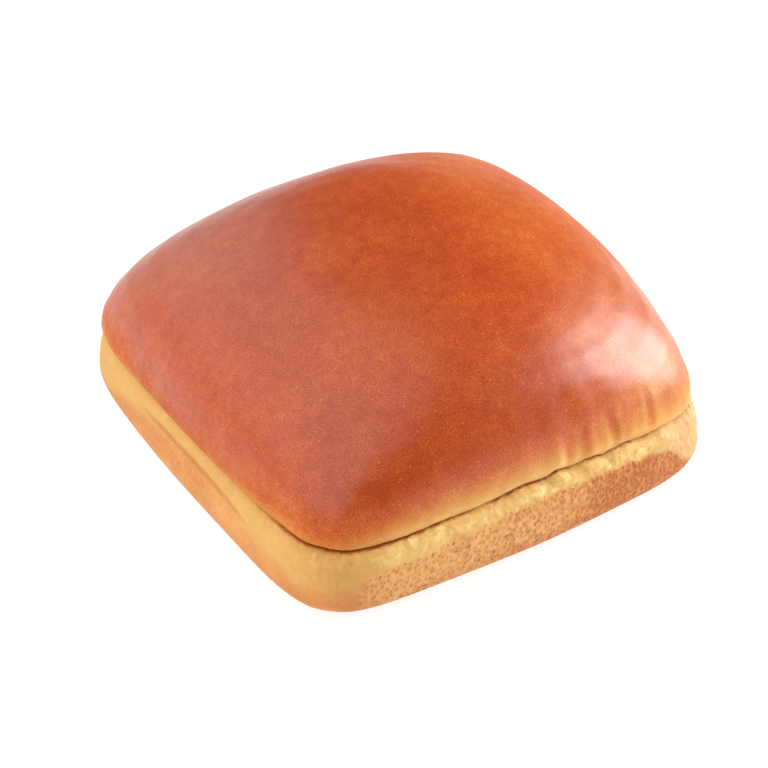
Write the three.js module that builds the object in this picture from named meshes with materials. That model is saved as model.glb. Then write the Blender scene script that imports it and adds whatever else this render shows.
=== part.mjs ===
// A square brioche bun, already sliced: a glossy domed crown lying on a flat heel.
//
// Millimetres, +Z up. The origin is the middle of the flat underside, on the surface the bun stands on.
// -Y is the front, -X the left side, and angles turn anticlockwise from +X, seen from above.
//
// Each piece starts as a turned form, a section revolved about Z. Every ring of it is then squared off
// and given the swelling sides, the drooping corners, the puckers and the dents of a baked bun.

import * as THREE from 'three';

// ---------------------------------------------------------------------------------------------
// Driving dimensions
// ---------------------------------------------------------------------------------------------

// The knife cut that parts the bun.
const CUT_HEIGHT = 16.3;
const CUT_GAP = 0.3;
const CUT_CORNER_SAG = 0.7;

// Facets round each piece, and how far they are crowded towards the corners so that the four
// sides and the four corners get facets of equal width.
const FACETS_ROUND = 156;
const CORNER_CROWDING = 0.33;

// One value for each side, in the order right, back, left, front, or for each corner after it.
const SIDE_ANGLES = [0, 90, 180, 270];
const CORNER_ANGLES = [45, 135, 225, 315];
const SIDE_SPREAD = 28;
const CORNER_SPREAD = 22;

// Powers of the reach, from 0 at the middle to 1 at the edge, by which unevenness and sag set in.
const UNEVEN_POWER = 3;
const SAG_POWER = 4;

// Phases of the waves that make the small unevenness, in radians.
const FIRST_PHASE = 0.7;
const PHASE_STEP = 2.4;

// Reaches of the rings that carry each cut face and the base in towards the middle.
const CUT_FACE_REACHES = [0, 0.55, 0.9];
const BASE_REACHES = [0, 0.6, 1];

const CROWN = {
  centre: [1.3, -0.5],
  halfWidth: 50,
  halfDepth: 49.3,
  squareness: 6.5,
  roundness: 6.4,
  domeHeight: 25.6,
  domeFlatness: 3.5,
  domeShoulder: 1.7,
  waistRise: 3.9,
  waistRiseAtCorner: 0.2,
  underInset: 1.1,
  underInsetAtCorner: 0.5,
  sideSwell: [0.8, 0.4, 1.4, -0.6],
  cornerReach: [0.4, 0.4, -1.7, -2.6],
  lean: [-1.2, -0.3],
  domeRings: 13,
  underRings: 3,
};

const HEEL = {
  centre: [0, 0],
  halfWidth: 50.4,
  halfDepth: 50.9,
  squareness: 6.7,
  waistHeight: 5.4,
  shoulderInset: 2.8,
  footInset: 7.2,
  sideSwell: [-0.1, 0, 0.4, 1.5],
  cornerReach: [0, -1.7, 0.2, -0.9],
  footRings: 4,
  shoulderRings: 6,
};

// Puckers: short upright pleats that gather the crust round the crown's waist.
const PUCKER = {
  depth: 0.55,
  cycles: [43, 31, 37],
  bandPower: 14,
  strongestAt: 294,
  strongestSpread: 36,
  faintest: 0.35,
};

// Slow swells over the dome.
const DOME_SWELL = { height: 0.5, cycles: [3, 5], reachPower: 2 };

// Lumps on the pale crumb band just under the cut, all round but for the smooth left side.
const CRUMB_LUMP = {
  height: 0.6,
  cycles: [37, 41, 23],
  atHeight: 14,
  band: 2.4,
  smoothAt: 190,
  smoothSpread: 48,
};

// A long bowed dent in the heel's left side, where the crumb band meets the base crust.
const DENT = { depth: 0.8, atHeight: 12.6, band: 1.5, alongSide: -6, length: 19, bow: 1.6 };

// The egg-washed crust is glossy and the heel's crumb and base crust are dull.
const CROWN_CRUST = { color: 0xc05524, roughness: 0.35, metalness: 0 };
const HEEL_CRUST = { color: 0xe9b667, roughness: 0.8, metalness: 0 };

// ---------------------------------------------------------------------------------------------
// Shaping functions
// ---------------------------------------------------------------------------------------------

/** A smooth bump of height 1 at a place, dying away over a spread. */
function bump(value, place, spread) {
  return Math.exp(-(((value - place) / spread) ** 2));
}

/** The same bump round the bun: both angles in degrees, the shorter way round. */
function bumpRound(degrees, place, spread) {
  const apart = ((degrees - place + 540) % 360) - 180;
  return bump(apart, 0, spread);
}

/** Distance from the middle to a squared-off ring: 2 is an ellipse, a large squareness a square. */
function squaredRadius(angle, halfWidth, halfDepth, squareness) {
  const across = Math.abs(Math.cos(angle) / halfWidth) ** squareness;
  const along = Math.abs(Math.sin(angle) / halfDepth) ** squareness;
  return (across + along) ** (-1 / squareness);
}

/** How much each side swells and each corner reaches out, round the widest line of a piece. */
function unevenness(angle, piece) {
  const degrees = THREE.MathUtils.radToDeg(angle);
  let reach = 0;
  for (let side = 0; side < SIDE_ANGLES.length; side += 1) {
    reach += piece.sideSwell[side] * bumpRound(degrees, SIDE_ANGLES[side], SIDE_SPREAD);
    reach += piece.cornerReach[side] * bumpRound(degrees, CORNER_ANGLES[side], CORNER_SPREAD);
  }
  return reach;
}

/** 0 at the middle of each side and 1 at each corner. */
function cornerShare(angle) {
  return (1 - Math.cos(4 * angle)) / 2;
}

/** Waves whose counts round the bun share no factor, so they never line up: between -1 and 1. */
function wander(angle, cycles) {
  let sum = 0;
  cycles.forEach((count, order) => {
    sum += Math.sin(count * angle + PHASE_STEP * order + FIRST_PHASE);
  });
  return sum / cycles.length;
}

/** Height of the knife cut, which droops a little towards the corners. */
function cutHeight(angle, reach) {
  return CUT_HEIGHT - CUT_CORNER_SAG * cornerShare(angle) * reach ** SAG_POWER;
}

/** Depth of the puckers round the crown's waist. */
function puckerDepth(angle) {
  const degrees = THREE.MathUtils.radToDeg(angle);
  const strongest = bumpRound(degrees, PUCKER.strongestAt, PUCKER.strongestSpread);
  const strength = THREE.MathUtils.lerp(PUCKER.faintest, 1, strongest);
  return PUCKER.depth * strength * wander(angle, PUCKER.cycles);
}

/** A point at an angle and radius round a piece's middle. */
function pointRound(piece, angle, radius, height) {
  const x = piece.centre[0] + radius * Math.cos(angle);
  const y = piece.centre[1] + radius * Math.sin(angle);
  return new THREE.Vector3(x, y, height);
}

/** Even steps from above 0 up to 1. */
function stepsToOne(count) {
  return Array.from({ length: count }, (_, step) => (step + 1) / count);
}

/**
 * A closed solid from a list of rings, from the axis at one end to the axis at the other. Each ring
 * has the radius and height of its turned form, and a function that places its points by angle.
 */
function squaredForm(rings) {
  const profile = rings.map((ring) => new THREE.Vector2(ring.radius, ring.height));
  const geometry = new THREE.LatheGeometry(profile, FACETS_ROUND);
  const position = geometry.attributes.position;
  for (let column = 0; column <= FACETS_ROUND; column += 1) {
    const turn = (2 * Math.PI * (column % FACETS_ROUND)) / FACETS_ROUND;
    const angle = turn + (CORNER_CROWDING * Math.sin(4 * turn)) / 4;
    rings.forEach((ring, row) => {
      const point = ring.place(angle);
      position.setXYZ(column * rings.length + row, point.x, point.y, point.z);
    });
  }
  geometry.computeVertexNormals();
  return geometry;
}

// ---------------------------------------------------------------------------------------------
// The crown
// ---------------------------------------------------------------------------------------------

/** Radius of the crown's ring at a reach from 0 on top to 1 at the waist. */
function crownRadius(angle, reach) {
  const squareness = 2 + (CROWN.squareness - 2) * reach ** CROWN.roundness;
  const ring = squaredRadius(angle, CROWN.halfWidth, CROWN.halfDepth, squareness);
  const puckers = puckerDepth(angle) * reach ** PUCKER.bandPower;
  return ring * reach + unevenness(angle, CROWN) * reach ** UNEVEN_POWER + puckers;
}

/** Rise of the waist above the cut: high at the sides, almost down on the cut at the corners. */
function waistRise(angle) {
  return THREE.MathUtils.lerp(CROWN.waistRise, CROWN.waistRiseAtCorner, cornerShare(angle));
}

/** How far the crust curls in below the waist. */
function underInset(angle) {
  return THREE.MathUtils.lerp(CROWN.underInset, CROWN.underInsetAtCorner, cornerShare(angle));
}

/** How much the dome leans at a point of it. The corners of the waist stay down on the cut. */
function leanAt(point, angle, rise) {
  const across = (CROWN.lean[0] * point.x) / CROWN.halfWidth;
  const along = (CROWN.lean[1] * point.y) / CROWN.halfDepth;
  return (across + along) * THREE.MathUtils.lerp(1 - cornerShare(angle), 1, rise);
}

/** A point on the dome. */
function domePoint(angle, reach) {
  const rise = (1 - reach ** CROWN.domeFlatness) ** (1 / CROWN.domeShoulder);
  const waist = cutHeight(angle, 1) + waistRise(angle);
  const top = CUT_HEIGHT + CROWN.waistRise + CROWN.domeHeight;
  const point = pointRound(CROWN, angle, crownRadius(angle, reach), 0);
  const swell = DOME_SWELL.height * wander(angle, DOME_SWELL.cycles) * reach ** DOME_SWELL.reachPower;
  point.z = THREE.MathUtils.lerp(waist, top, rise) + leanAt(point, angle, rise) + swell * rise;
  return point;
}

/** A point where the crust curls under, from 0 at the waist to 1 at the cut. */
function underPoint(angle, share) {
  const bend = (share * Math.PI) / 2;
  const radius = crownRadius(angle, 1) - underInset(angle) * (1 - Math.cos(bend));
  const height = cutHeight(angle, 1) + CUT_GAP / 2 + waistRise(angle) * (1 - Math.sin(bend));
  const point = pointRound(CROWN, angle, radius, height);
  point.z += leanAt(point, angle, 0) * Math.cos(bend);
  return point;
}

/** A point on the crown's cut face. */
function crownCutPoint(angle, reach) {
  const edge = underPoint(angle, 1);
  const height = cutHeight(angle, reach) + CUT_GAP / 2;
  const x = THREE.MathUtils.lerp(CROWN.centre[0], edge.x, reach);
  const y = THREE.MathUtils.lerp(CROWN.centre[1], edge.y, reach);
  return new THREE.Vector3(x, y, height);
}

function makeCrown() {
  const waistHeight = CUT_HEIGHT + CROWN.waistRise;
  const rings = [];
  for (const reach of CUT_FACE_REACHES) {
    rings.push({
      radius: CROWN.halfWidth * reach,
      height: CUT_HEIGHT,
      place: (angle) => crownCutPoint(angle, reach),
    });
  }
  for (const share of stepsToOne(CROWN.underRings).reverse()) {
    rings.push({
      radius: CROWN.halfWidth - CROWN.underInset * share,
      height: THREE.MathUtils.lerp(waistHeight, CUT_HEIGHT, share),
      place: (angle) => underPoint(angle, share),
    });
  }
  for (const share of stepsToOne(CROWN.domeRings).reverse()) {
    const reach = Math.sin((share * Math.PI) / 2);
    rings.push({
      radius: CROWN.halfWidth * reach,
      height: waistHeight + CROWN.domeHeight * (1 - share),
      place: (angle) => domePoint(angle, reach),
    });
  }
  rings.push({
    radius: 0,
    height: waistHeight + CROWN.domeHeight,
    place: (angle) => domePoint(angle, 0),
  });
  return squaredForm(rings);
}

// ---------------------------------------------------------------------------------------------
// The heel
// ---------------------------------------------------------------------------------------------

/** Radius of the heel's widest line. */
function heelRadius(angle) {
  const ring = squaredRadius(angle, HEEL.halfWidth, HEEL.halfDepth, HEEL.squareness);
  return ring + unevenness(angle, HEEL);
}

/** Depth of the long dent in the left side, at an angle and a height. */
function dentDepth(angle, height) {
  if (Math.cos(angle) > 0) {
    return 0;
  }
  const along = heelRadius(angle) * Math.sin(angle);
  const fromMiddle = (along - DENT.alongSide) / DENT.length;
  const dentHeight = DENT.atHeight - DENT.bow * fromMiddle ** 2;
  return DENT.depth * bump(fromMiddle, 0, 1) * bump(height, dentHeight, DENT.band);
}

/** Height of the crumb band's lumps, at an angle and a height. */
function lumpHeight(angle, height) {
  const degrees = THREE.MathUtils.radToDeg(angle);
  const lumpy = 1 - bumpRound(degrees, CRUMB_LUMP.smoothAt, CRUMB_LUMP.smoothSpread);
  const inBand = bump(height, CRUMB_LUMP.atHeight, CRUMB_LUMP.band);
  return CRUMB_LUMP.height * wander(angle, CRUMB_LUMP.cycles) * lumpy * inBand;
}

/** A point on the heel's side, inset from the widest line at a height. */
function heelSidePoint(angle, inset, height) {
  const relief = lumpHeight(angle, height) - dentDepth(angle, height);
  return pointRound(HEEL, angle, heelRadius(angle) - inset + relief, height);
}

/** A point on the heel's foot, from 0 at the flat base to 1 at the widest line. */
function footPoint(angle, share) {
  const bend = ((1 - share) * Math.PI) / 2;
  const inset = HEEL.footInset * (1 - Math.cos(bend));
  return heelSidePoint(angle, inset, HEEL.waistHeight * (1 - Math.sin(bend)));
}

/** A point on the heel's shoulder, from 0 at the widest line to 1 at the cut. */
function shoulderPoint(angle, share) {
  const bend = (share * Math.PI) / 2;
  const inset = HEEL.shoulderInset * (1 - Math.cos(bend));
  const top = cutHeight(angle, 1) - CUT_GAP / 2;
  return heelSidePoint(angle, inset, THREE.MathUtils.lerp(HEEL.waistHeight, top, Math.sin(bend)));
}

/** A point on the heel's flat base. */
function basePoint(angle, reach) {
  const edge = footPoint(angle, 0);
  return new THREE.Vector3(edge.x * reach, edge.y * reach, 0);
}

/** A point on the heel's cut face. */
function heelCutPoint(angle, reach) {
  const edge = shoulderPoint(angle, 1);
  return new THREE.Vector3(edge.x * reach, edge.y * reach, cutHeight(angle, reach) - CUT_GAP / 2);
}

function makeHeel() {
  const rings = [];
  for (const reach of BASE_REACHES) {
    rings.push({
      radius: (HEEL.halfWidth - HEEL.footInset) * reach,
      height: 0,
      place: (angle) => basePoint(angle, reach),
    });
  }
  for (const share of stepsToOne(HEEL.footRings)) {
    rings.push({
      radius: HEEL.halfWidth - HEEL.footInset * (1 - share),
      height: HEEL.waistHeight * share,
      place: (angle) => footPoint(angle, share),
    });
  }
  for (const share of stepsToOne(HEEL.shoulderRings)) {
    rings.push({
      radius: HEEL.halfWidth - HEEL.shoulderInset * share,
      height: THREE.MathUtils.lerp(HEEL.waistHeight, CUT_HEIGHT, share),
      place: (angle) => shoulderPoint(angle, share),
    });
  }
  for (const reach of CUT_FACE_REACHES.toReversed()) {
    rings.push({
      radius: HEEL.halfWidth * reach,
      height: CUT_HEIGHT,
      place: (angle) => heelCutPoint(angle, reach),
    });
  }
  return squaredForm(rings);
}

// ---------------------------------------------------------------------------------------------
// The bun
// ---------------------------------------------------------------------------------------------

const crown = new THREE.Mesh(makeCrown(), new THREE.MeshStandardMaterial(CROWN_CRUST));
crown.name = 'crown';

const heel = new THREE.Mesh(makeHeel(), new THREE.MeshStandardMaterial(HEEL_CRUST));
heel.name = 'heel';

const bun = new THREE.Group();
bun.name = 'brioche_bun';
bun.add(crown, heel);

// The sides swell unevenly, so the bun is moved until its box stands centred on the origin.
const box = new THREE.Box3().setFromObject(bun);
const middle = box.getCenter(new THREE.Vector3());
bun.position.set(-middle.x, -middle.y, -box.min.z);

export default bun;
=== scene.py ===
"""Looks of a square brioche bun: an egg-washed crown on a pale heel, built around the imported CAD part."""

import logging
import math
import random
from collections import Counter
from collections.abc import Callable
from dataclasses import dataclass, field
from enum import Enum

import bpy
import numpy as np
from mathutils import Matrix, Vector, noise
from mathutils.bvhtree import BVHTree
from mathutils.geometry import normal


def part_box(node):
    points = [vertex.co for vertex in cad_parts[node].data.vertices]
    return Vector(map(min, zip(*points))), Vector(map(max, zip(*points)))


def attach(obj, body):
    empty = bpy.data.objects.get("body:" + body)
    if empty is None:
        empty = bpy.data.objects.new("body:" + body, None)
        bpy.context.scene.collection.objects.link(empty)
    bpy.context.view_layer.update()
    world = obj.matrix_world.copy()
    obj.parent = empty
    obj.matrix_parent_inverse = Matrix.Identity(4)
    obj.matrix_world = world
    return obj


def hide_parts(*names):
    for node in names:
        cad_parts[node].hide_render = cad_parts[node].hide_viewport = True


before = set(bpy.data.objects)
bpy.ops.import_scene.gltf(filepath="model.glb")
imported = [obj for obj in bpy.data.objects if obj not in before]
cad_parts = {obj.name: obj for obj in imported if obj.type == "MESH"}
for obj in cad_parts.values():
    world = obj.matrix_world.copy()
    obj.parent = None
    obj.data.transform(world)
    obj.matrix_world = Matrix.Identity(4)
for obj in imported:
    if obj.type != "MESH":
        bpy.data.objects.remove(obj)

LOG = logging.getLogger("brioche_bun")
MM = 0.001
# How near, in millimetres, two heights of a block count as one.
NEAR = 0.1
# The least relief, in millimetres, that is worth moving a point for.
LEAST = 0.001
# How straight an edge has to run along an axis, and how level a face has to lie.
STRAIGHT = 0.9
LEVEL = 0.7

Box = tuple[Vector, Vector]
Colour = tuple[float, float, float, float]
Field = np.ndarray
Socket = bpy.types.NodeSocket
Inputs = dict[str | int, object]
Test = Callable[[list[Vector]], bool]
Triple = tuple[float, float, float]


class Band(Enum):
    """Which parts of a mesh are picked in edit mode."""

    EDGES = "EDGE"
    FACES = "FACE"


class Push(Enum):
    """Which way a relief moves the points of a piece."""

    OUTWARD = "NORMAL"
    UPWARD = "Z"


class Mark(Enum):
    """The fields that the pieces carry for their finishes to read."""

    BAKE = "bake"
    WASH = "wash"
    TAN = "tan"
    PAINTED_SHADE = "pit"
    TOAST = "toast"
    PALE = "pale"
    SLIT_SHADE = "slit"
    SPONGE = "sponge"
    CRUMBLY = "crumbly"


# ---------------------------------------------------------------------------------------------------------
# Small helpers for modelling
# ---------------------------------------------------------------------------------------------------------


def deselect_all() -> None:
    """Leaves nothing selected, because an operator acts on all that is."""
    if bpy.context.object and bpy.context.object.mode != "OBJECT":
        bpy.ops.object.mode_set(mode="OBJECT")
    bpy.ops.object.select_all(action="DESELECT")


def make_active(piece: bpy.types.Object) -> None:
    """Makes the piece the only selected one, and the active one."""
    deselect_all()
    piece.select_set(True)
    bpy.context.view_layer.objects.active = piece


def apply_modifier(piece: bpy.types.Object, kind: str, **settings: object) -> None:
    """Adds a modifier to a piece and applies it at once.

    Args:
        piece: The object that is modelled.
        kind: The modifier's type.
        settings: Its properties by name.
    """
    make_active(piece)
    modifier = piece.modifiers.new(kind.title(), kind)
    for name, value in settings.items():
        setattr(modifier, name, value)
    bpy.ops.object.modifier_apply(modifier=modifier.name)


def pick(piece: bpy.types.Object, band: Band, test: Test) -> None:
    """Selects, in edit mode, the edges or faces whose corners pass a test.

    Args:
        piece: The object in hand.
        band: What is selected.
        test: Gets the corners of one edge or face, in millimetres, and says whether it is wanted.
    """
    make_active(piece)
    bpy.ops.object.mode_set(mode="EDIT")
    bpy.ops.mesh.select_mode(type=band.value)
    bpy.ops.mesh.select_all(action="DESELECT")
    bpy.ops.object.mode_set(mode="OBJECT")
    mesh = piece.data
    points = [vertex.co / MM for vertex in mesh.vertices]
    for part in mesh.edges if band is Band.EDGES else mesh.polygons:
        part.select = test([points[index] for index in part.vertices])
    bpy.ops.object.mode_set(mode="EDIT")


def runs_along(axis: int) -> Test:
    """Returns a test that is true of an edge parallel to the axis."""

    def test(ends: list[Vector]) -> bool:
        """Says whether the two ends differ along the axis alone."""
        step = ends[1] - ends[0]
        return abs(step[axis]) > STRAIGHT * step.length

    return test


def is_level(corners: list[Vector]) -> bool:
    """Returns whether a face lies level, or nearly so."""
    return abs(normal(corners).z) > LEVEL


def widest_face(piece: bpy.types.Object) -> list[int]:
    """Returns the corners, in order, of the face that has the most."""
    if piece.mode != "OBJECT":
        bpy.ops.object.mode_set(mode="OBJECT")
    return list(max(piece.data.polygons, key=lambda face: len(face.vertices)).vertices)


def pick_joined(piece: bpy.types.Object, pairs: set[frozenset[int]]) -> None:
    """Selects, in edit mode, the edges that join these pairs of points.

    Args:
        piece: The object in hand.
        pairs: The two points of each edge.
    """
    pick(piece, Band.EDGES, lambda ends: False)
    bpy.ops.object.mode_set(mode="OBJECT")
    for edge in piece.data.edges:
        edge.select = frozenset(edge.vertices) in pairs
    bpy.ops.object.mode_set(mode="EDIT")


def pick_open(piece: bpy.types.Object, test: Test) -> None:
    """Selects, in edit mode, the edges of an open end that pass a test.

    Args:
        piece: The object in hand.
        test: Gets the ends of an edge in millimetres, and says whether it is wanted.
    """
    if piece.mode != "OBJECT":
        bpy.ops.object.mode_set(mode="OBJECT")
    uses = Counter(frozenset(pair) for face in piece.data.polygons for pair in face.edge_keys)
    points = [vertex.co / MM for vertex in piece.data.vertices]
    edge_pairs = [pair for pair, count in uses.items() if count == 1]
    pick_joined(piece, {pair for pair in edge_pairs if test([points[index] for index in pair])})


def halve_rim(piece: bpy.types.Object) -> None:
    """Merges the corners of the widest face in pairs, so that the next ring has half as many points."""
    ring = widest_face(piece)
    pick_joined(piece, {frozenset(ring[index : index + 2]) for index in range(0, len(ring) - 1, 2)})
    bpy.ops.mesh.merge(type="COLLAPSE")


def pick_widest(piece: bpy.types.Object) -> None:
    """Selects, in edit mode, the face that has the most corners."""
    count = len(widest_face(piece))
    pick(piece, Band.FACES, lambda corners: len(corners) == count)


def close_end(piece: bpy.types.Object, margins: tuple[float, ...], span: int) -> None:
    """Closes an open end, whose edges are selected, with rings that thin out and a grid in the middle.

    Args:
        piece: The object in hand, in edit mode.
        margins: How wide each ring is, in millimetres; each ring after the first halves its points.
        span: How many faces the middle grid has along one side.
    """
    bpy.ops.mesh.edge_face_add()
    for index, margin in enumerate(margins):
        pick_widest(piece)
        bpy.ops.mesh.inset(thickness=margin * MM)
        if index > 0:
            halve_rim(piece)
    ring = widest_face(piece)
    pick_widest(piece)
    bpy.ops.mesh.delete(type="ONLY_FACE")
    pick_joined(piece, {frozenset(pair) for pair in zip(ring, ring[1:] + ring[:1])})
    bpy.ops.mesh.fill_grid(span=span, use_interp_simple=True)


def turn_outwards(piece: bpy.types.Object) -> None:
    """Points all the faces of a closed piece outwards.

    Args:
        piece: The object in hand.
    """
    pick(piece, Band.FACES, lambda corners: True)
    bpy.ops.mesh.normals_make_consistent(inside=False)
    bpy.ops.object.mode_set(mode="OBJECT")
    mesh = piece.data
    volume = sum(face.center.dot(face.normal) * face.area for face in mesh.polygons)
    if volume < 0.0:
        pick(piece, Band.FACES, lambda corners: True)
        bpy.ops.mesh.flip_normals()
        bpy.ops.object.mode_set(mode="OBJECT")


def displace(piece: bpy.types.Object, name: str, heights: Field, push: Push) -> None:
    """Moves each point of a piece by its own height, with Displace modifiers that vertex weights drive.

    Args:
        piece: The object that gets the relief.
        name: What the relief is called.
        heights: How far each point goes, in millimetres.
        push: Whether it goes along its normal or straight up.
    """
    for sign in (1.0, -1.0):
        part = np.clip(heights * sign, 0.0, None)
        reach = float(part.max())
        if reach < LEAST:
            continue
        group = piece.vertex_groups.new(name=name)
        for index in np.flatnonzero(part > LEAST * reach):
            group.add([int(index)], float(part[index] / reach), "REPLACE")
        apply_modifier(
            piece,
            "DISPLACE",
            direction=push.value,
            vertex_group=group.name,
            mid_level=0.0,
            strength=sign * reach * MM,
        )
        piece.vertex_groups.remove(piece.vertex_groups[name])


def start_block(name: str, box: Box, finishes: tuple[bpy.types.Material, ...]) -> bpy.types.Object:
    """Adds a plain block that fills a box.

    Args:
        name: What the block is called.
        box: Its lowest and highest corner, in metres.
        finishes: The finishes that its faces can have; the first one covers it.

    Returns:
        The block, as the active object.
    """
    low, high = box
    deselect_all()
    bpy.ops.mesh.primitive_cube_add(size=1.0, location=(low + high) / 2.0, scale=high - low)
    piece = bpy.context.object
    piece.name = name
    bpy.ops.object.transform_apply(location=True, rotation=True, scale=True)
    for finish in finishes:
        piece.data.materials.append(finish)
    return piece


def cut_along(piece: bpy.types.Object, axes: tuple[int, ...], parts: int) -> None:
    """Cuts the edges that run along the axes into equal parts."""
    for axis in axes:
        pick(piece, Band.EDGES, runs_along(axis))
        bpy.ops.mesh.subdivide(number_cuts=parts - 1)


def give_finish(piece: bpy.types.Object, slot: int, test: Test) -> None:
    """Gives the faces that pass a test one of the piece's finishes.

    Args:
        piece: The object in hand.
        slot: The number of the finish.
        test: Gets the corners of a face, in millimetres, and says whether it is wanted.
    """
    pick(piece, Band.FACES, test)
    piece.active_material_index = slot
    bpy.ops.object.material_slot_assign()


def shade_smooth(piece: bpy.types.Object, angle: float) -> None:
    """Shades a piece smooth but for edges sharper than this many degrees."""
    make_active(piece)
    bpy.ops.object.shade_smooth_by_angle(angle=math.radians(angle))


def keep_field(piece: bpy.types.Object, mark: Mark, values: Field) -> None:
    """Stores one number for each point of a piece, for its material to read."""
    layer = piece.data.attributes.new(mark.value, "FLOAT", "POINT")
    layer.data.foreach_set("value", np.clip(values, 0.0, 1.0).astype(np.float32))


# ---------------------------------------------------------------------------------------------------------
# Fields: numbers worked out for every point of a mesh
# ---------------------------------------------------------------------------------------------------------


def smooth(value: Field, low: float | Field, high: float | Field) -> Field:
    """Returns 0 below low, 1 above high, and an S-shaped step between them."""
    share = np.clip((value - low) / (high - low), 0.0, 1.0)
    return share * share * (3.0 - 2.0 * share)


def mound(value: Field, centre: float | Field, half: float | Field) -> Field:
    """Returns a rounded mound: 1 at its centre, 0 from half its width outwards."""
    return smooth(1.0 - np.abs(value - centre) / half, 0.0, 1.0)


@dataclass(frozen=True)
class Step:
    """An S-shaped step: a field is 0 below its low end and 1 above its high end."""

    low: float
    high: float

    def of(self, value: Field) -> Field:
        """Returns how far up the step each value lies."""
        return smooth(value, self.low, self.high)


@dataclass(frozen=True)
class Lump:
    """One noise: how far it swings, its lumps' distance apart in millimetres, its seed and its stretch."""

    swing: float
    size: float
    seed: float
    stretch: Triple = (1.0, 1.0, 1.0)


@dataclass(frozen=True)
class Outline:
    """The bun's rounded-square outline, used to measure the way round it."""

    half_width: float = 50.4
    squareness: float = 6.6
    steps: int = 1440

    def reach_of(self, x: Field, y: Field) -> Field:
        """Returns how far out a place lies, as the half width of its own rounded square."""
        power = self.squareness
        return (np.abs(x) ** power + np.abs(y) ** power) ** (1.0 / power)

    def travel(self, x: Field, y: Field) -> Field:
        """Measures how far round the bun each point lies.

        Args:
            x: Places across, in millimetres.
            y: Places in depth, in millimetres.

        Returns:
            Millimetres from the near corner: the front is positive, the left side is negative.
        """
        turn = np.linspace(0.0, 2.0 * math.pi, self.steps + 1)
        reach = self.half_width / self.reach_of(np.cos(turn), np.sin(turn))
        steps = np.hypot(np.diff(reach * np.cos(turn)), np.diff(reach * np.sin(turn)))
        length = np.concatenate([[0.0], np.cumsum(steps)])
        near_corner = math.radians(225.0)
        bearing = (np.arctan2(y, x) - near_corner + math.pi) % (2.0 * math.pi)
        return np.interp(bearing, turn, self.shifted(length, turn)) - length[-1] / 2.0

    def shifted(self, length: Field, turn: Field) -> Field:
        """Returns the lengths counted from the far corner, which lies opposite the near one."""
        far_corner = math.radians(45.0)
        start = np.interp(far_corner, turn, length)
        counted = (np.interp((turn + far_corner) % (2.0 * math.pi), turn, length) - start) % length[-1]
        return counted + length[-1] * (turn >= 2.0 * math.pi - 1e-9)


@dataclass(frozen=True)
class Ribbon:
    """A height, or a share, that changes smoothly on the way round the bun."""

    places: tuple[tuple[float, float], ...]
    around: float = 375.0

    def at(self, travel: Field) -> Field:
        """Returns the ribbon's value at each travel, eased between its places."""
        spots = sorted(self.places)
        first, last = spots[0], spots[-1]
        where = [last[0] - self.around] + [spot[0] for spot in spots] + [first[0] + self.around]
        what = [last[1]] + [spot[1] for spot in spots] + [first[1]]
        index = np.clip(np.searchsorted(where, travel) - 1, 0, len(where) - 2)
        start, end = np.array(where)[index], np.array(where)[index + 1]
        share = smooth(travel, start, end)
        return np.array(what)[index] * (1.0 - share) + np.array(what)[index + 1] * share


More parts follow.
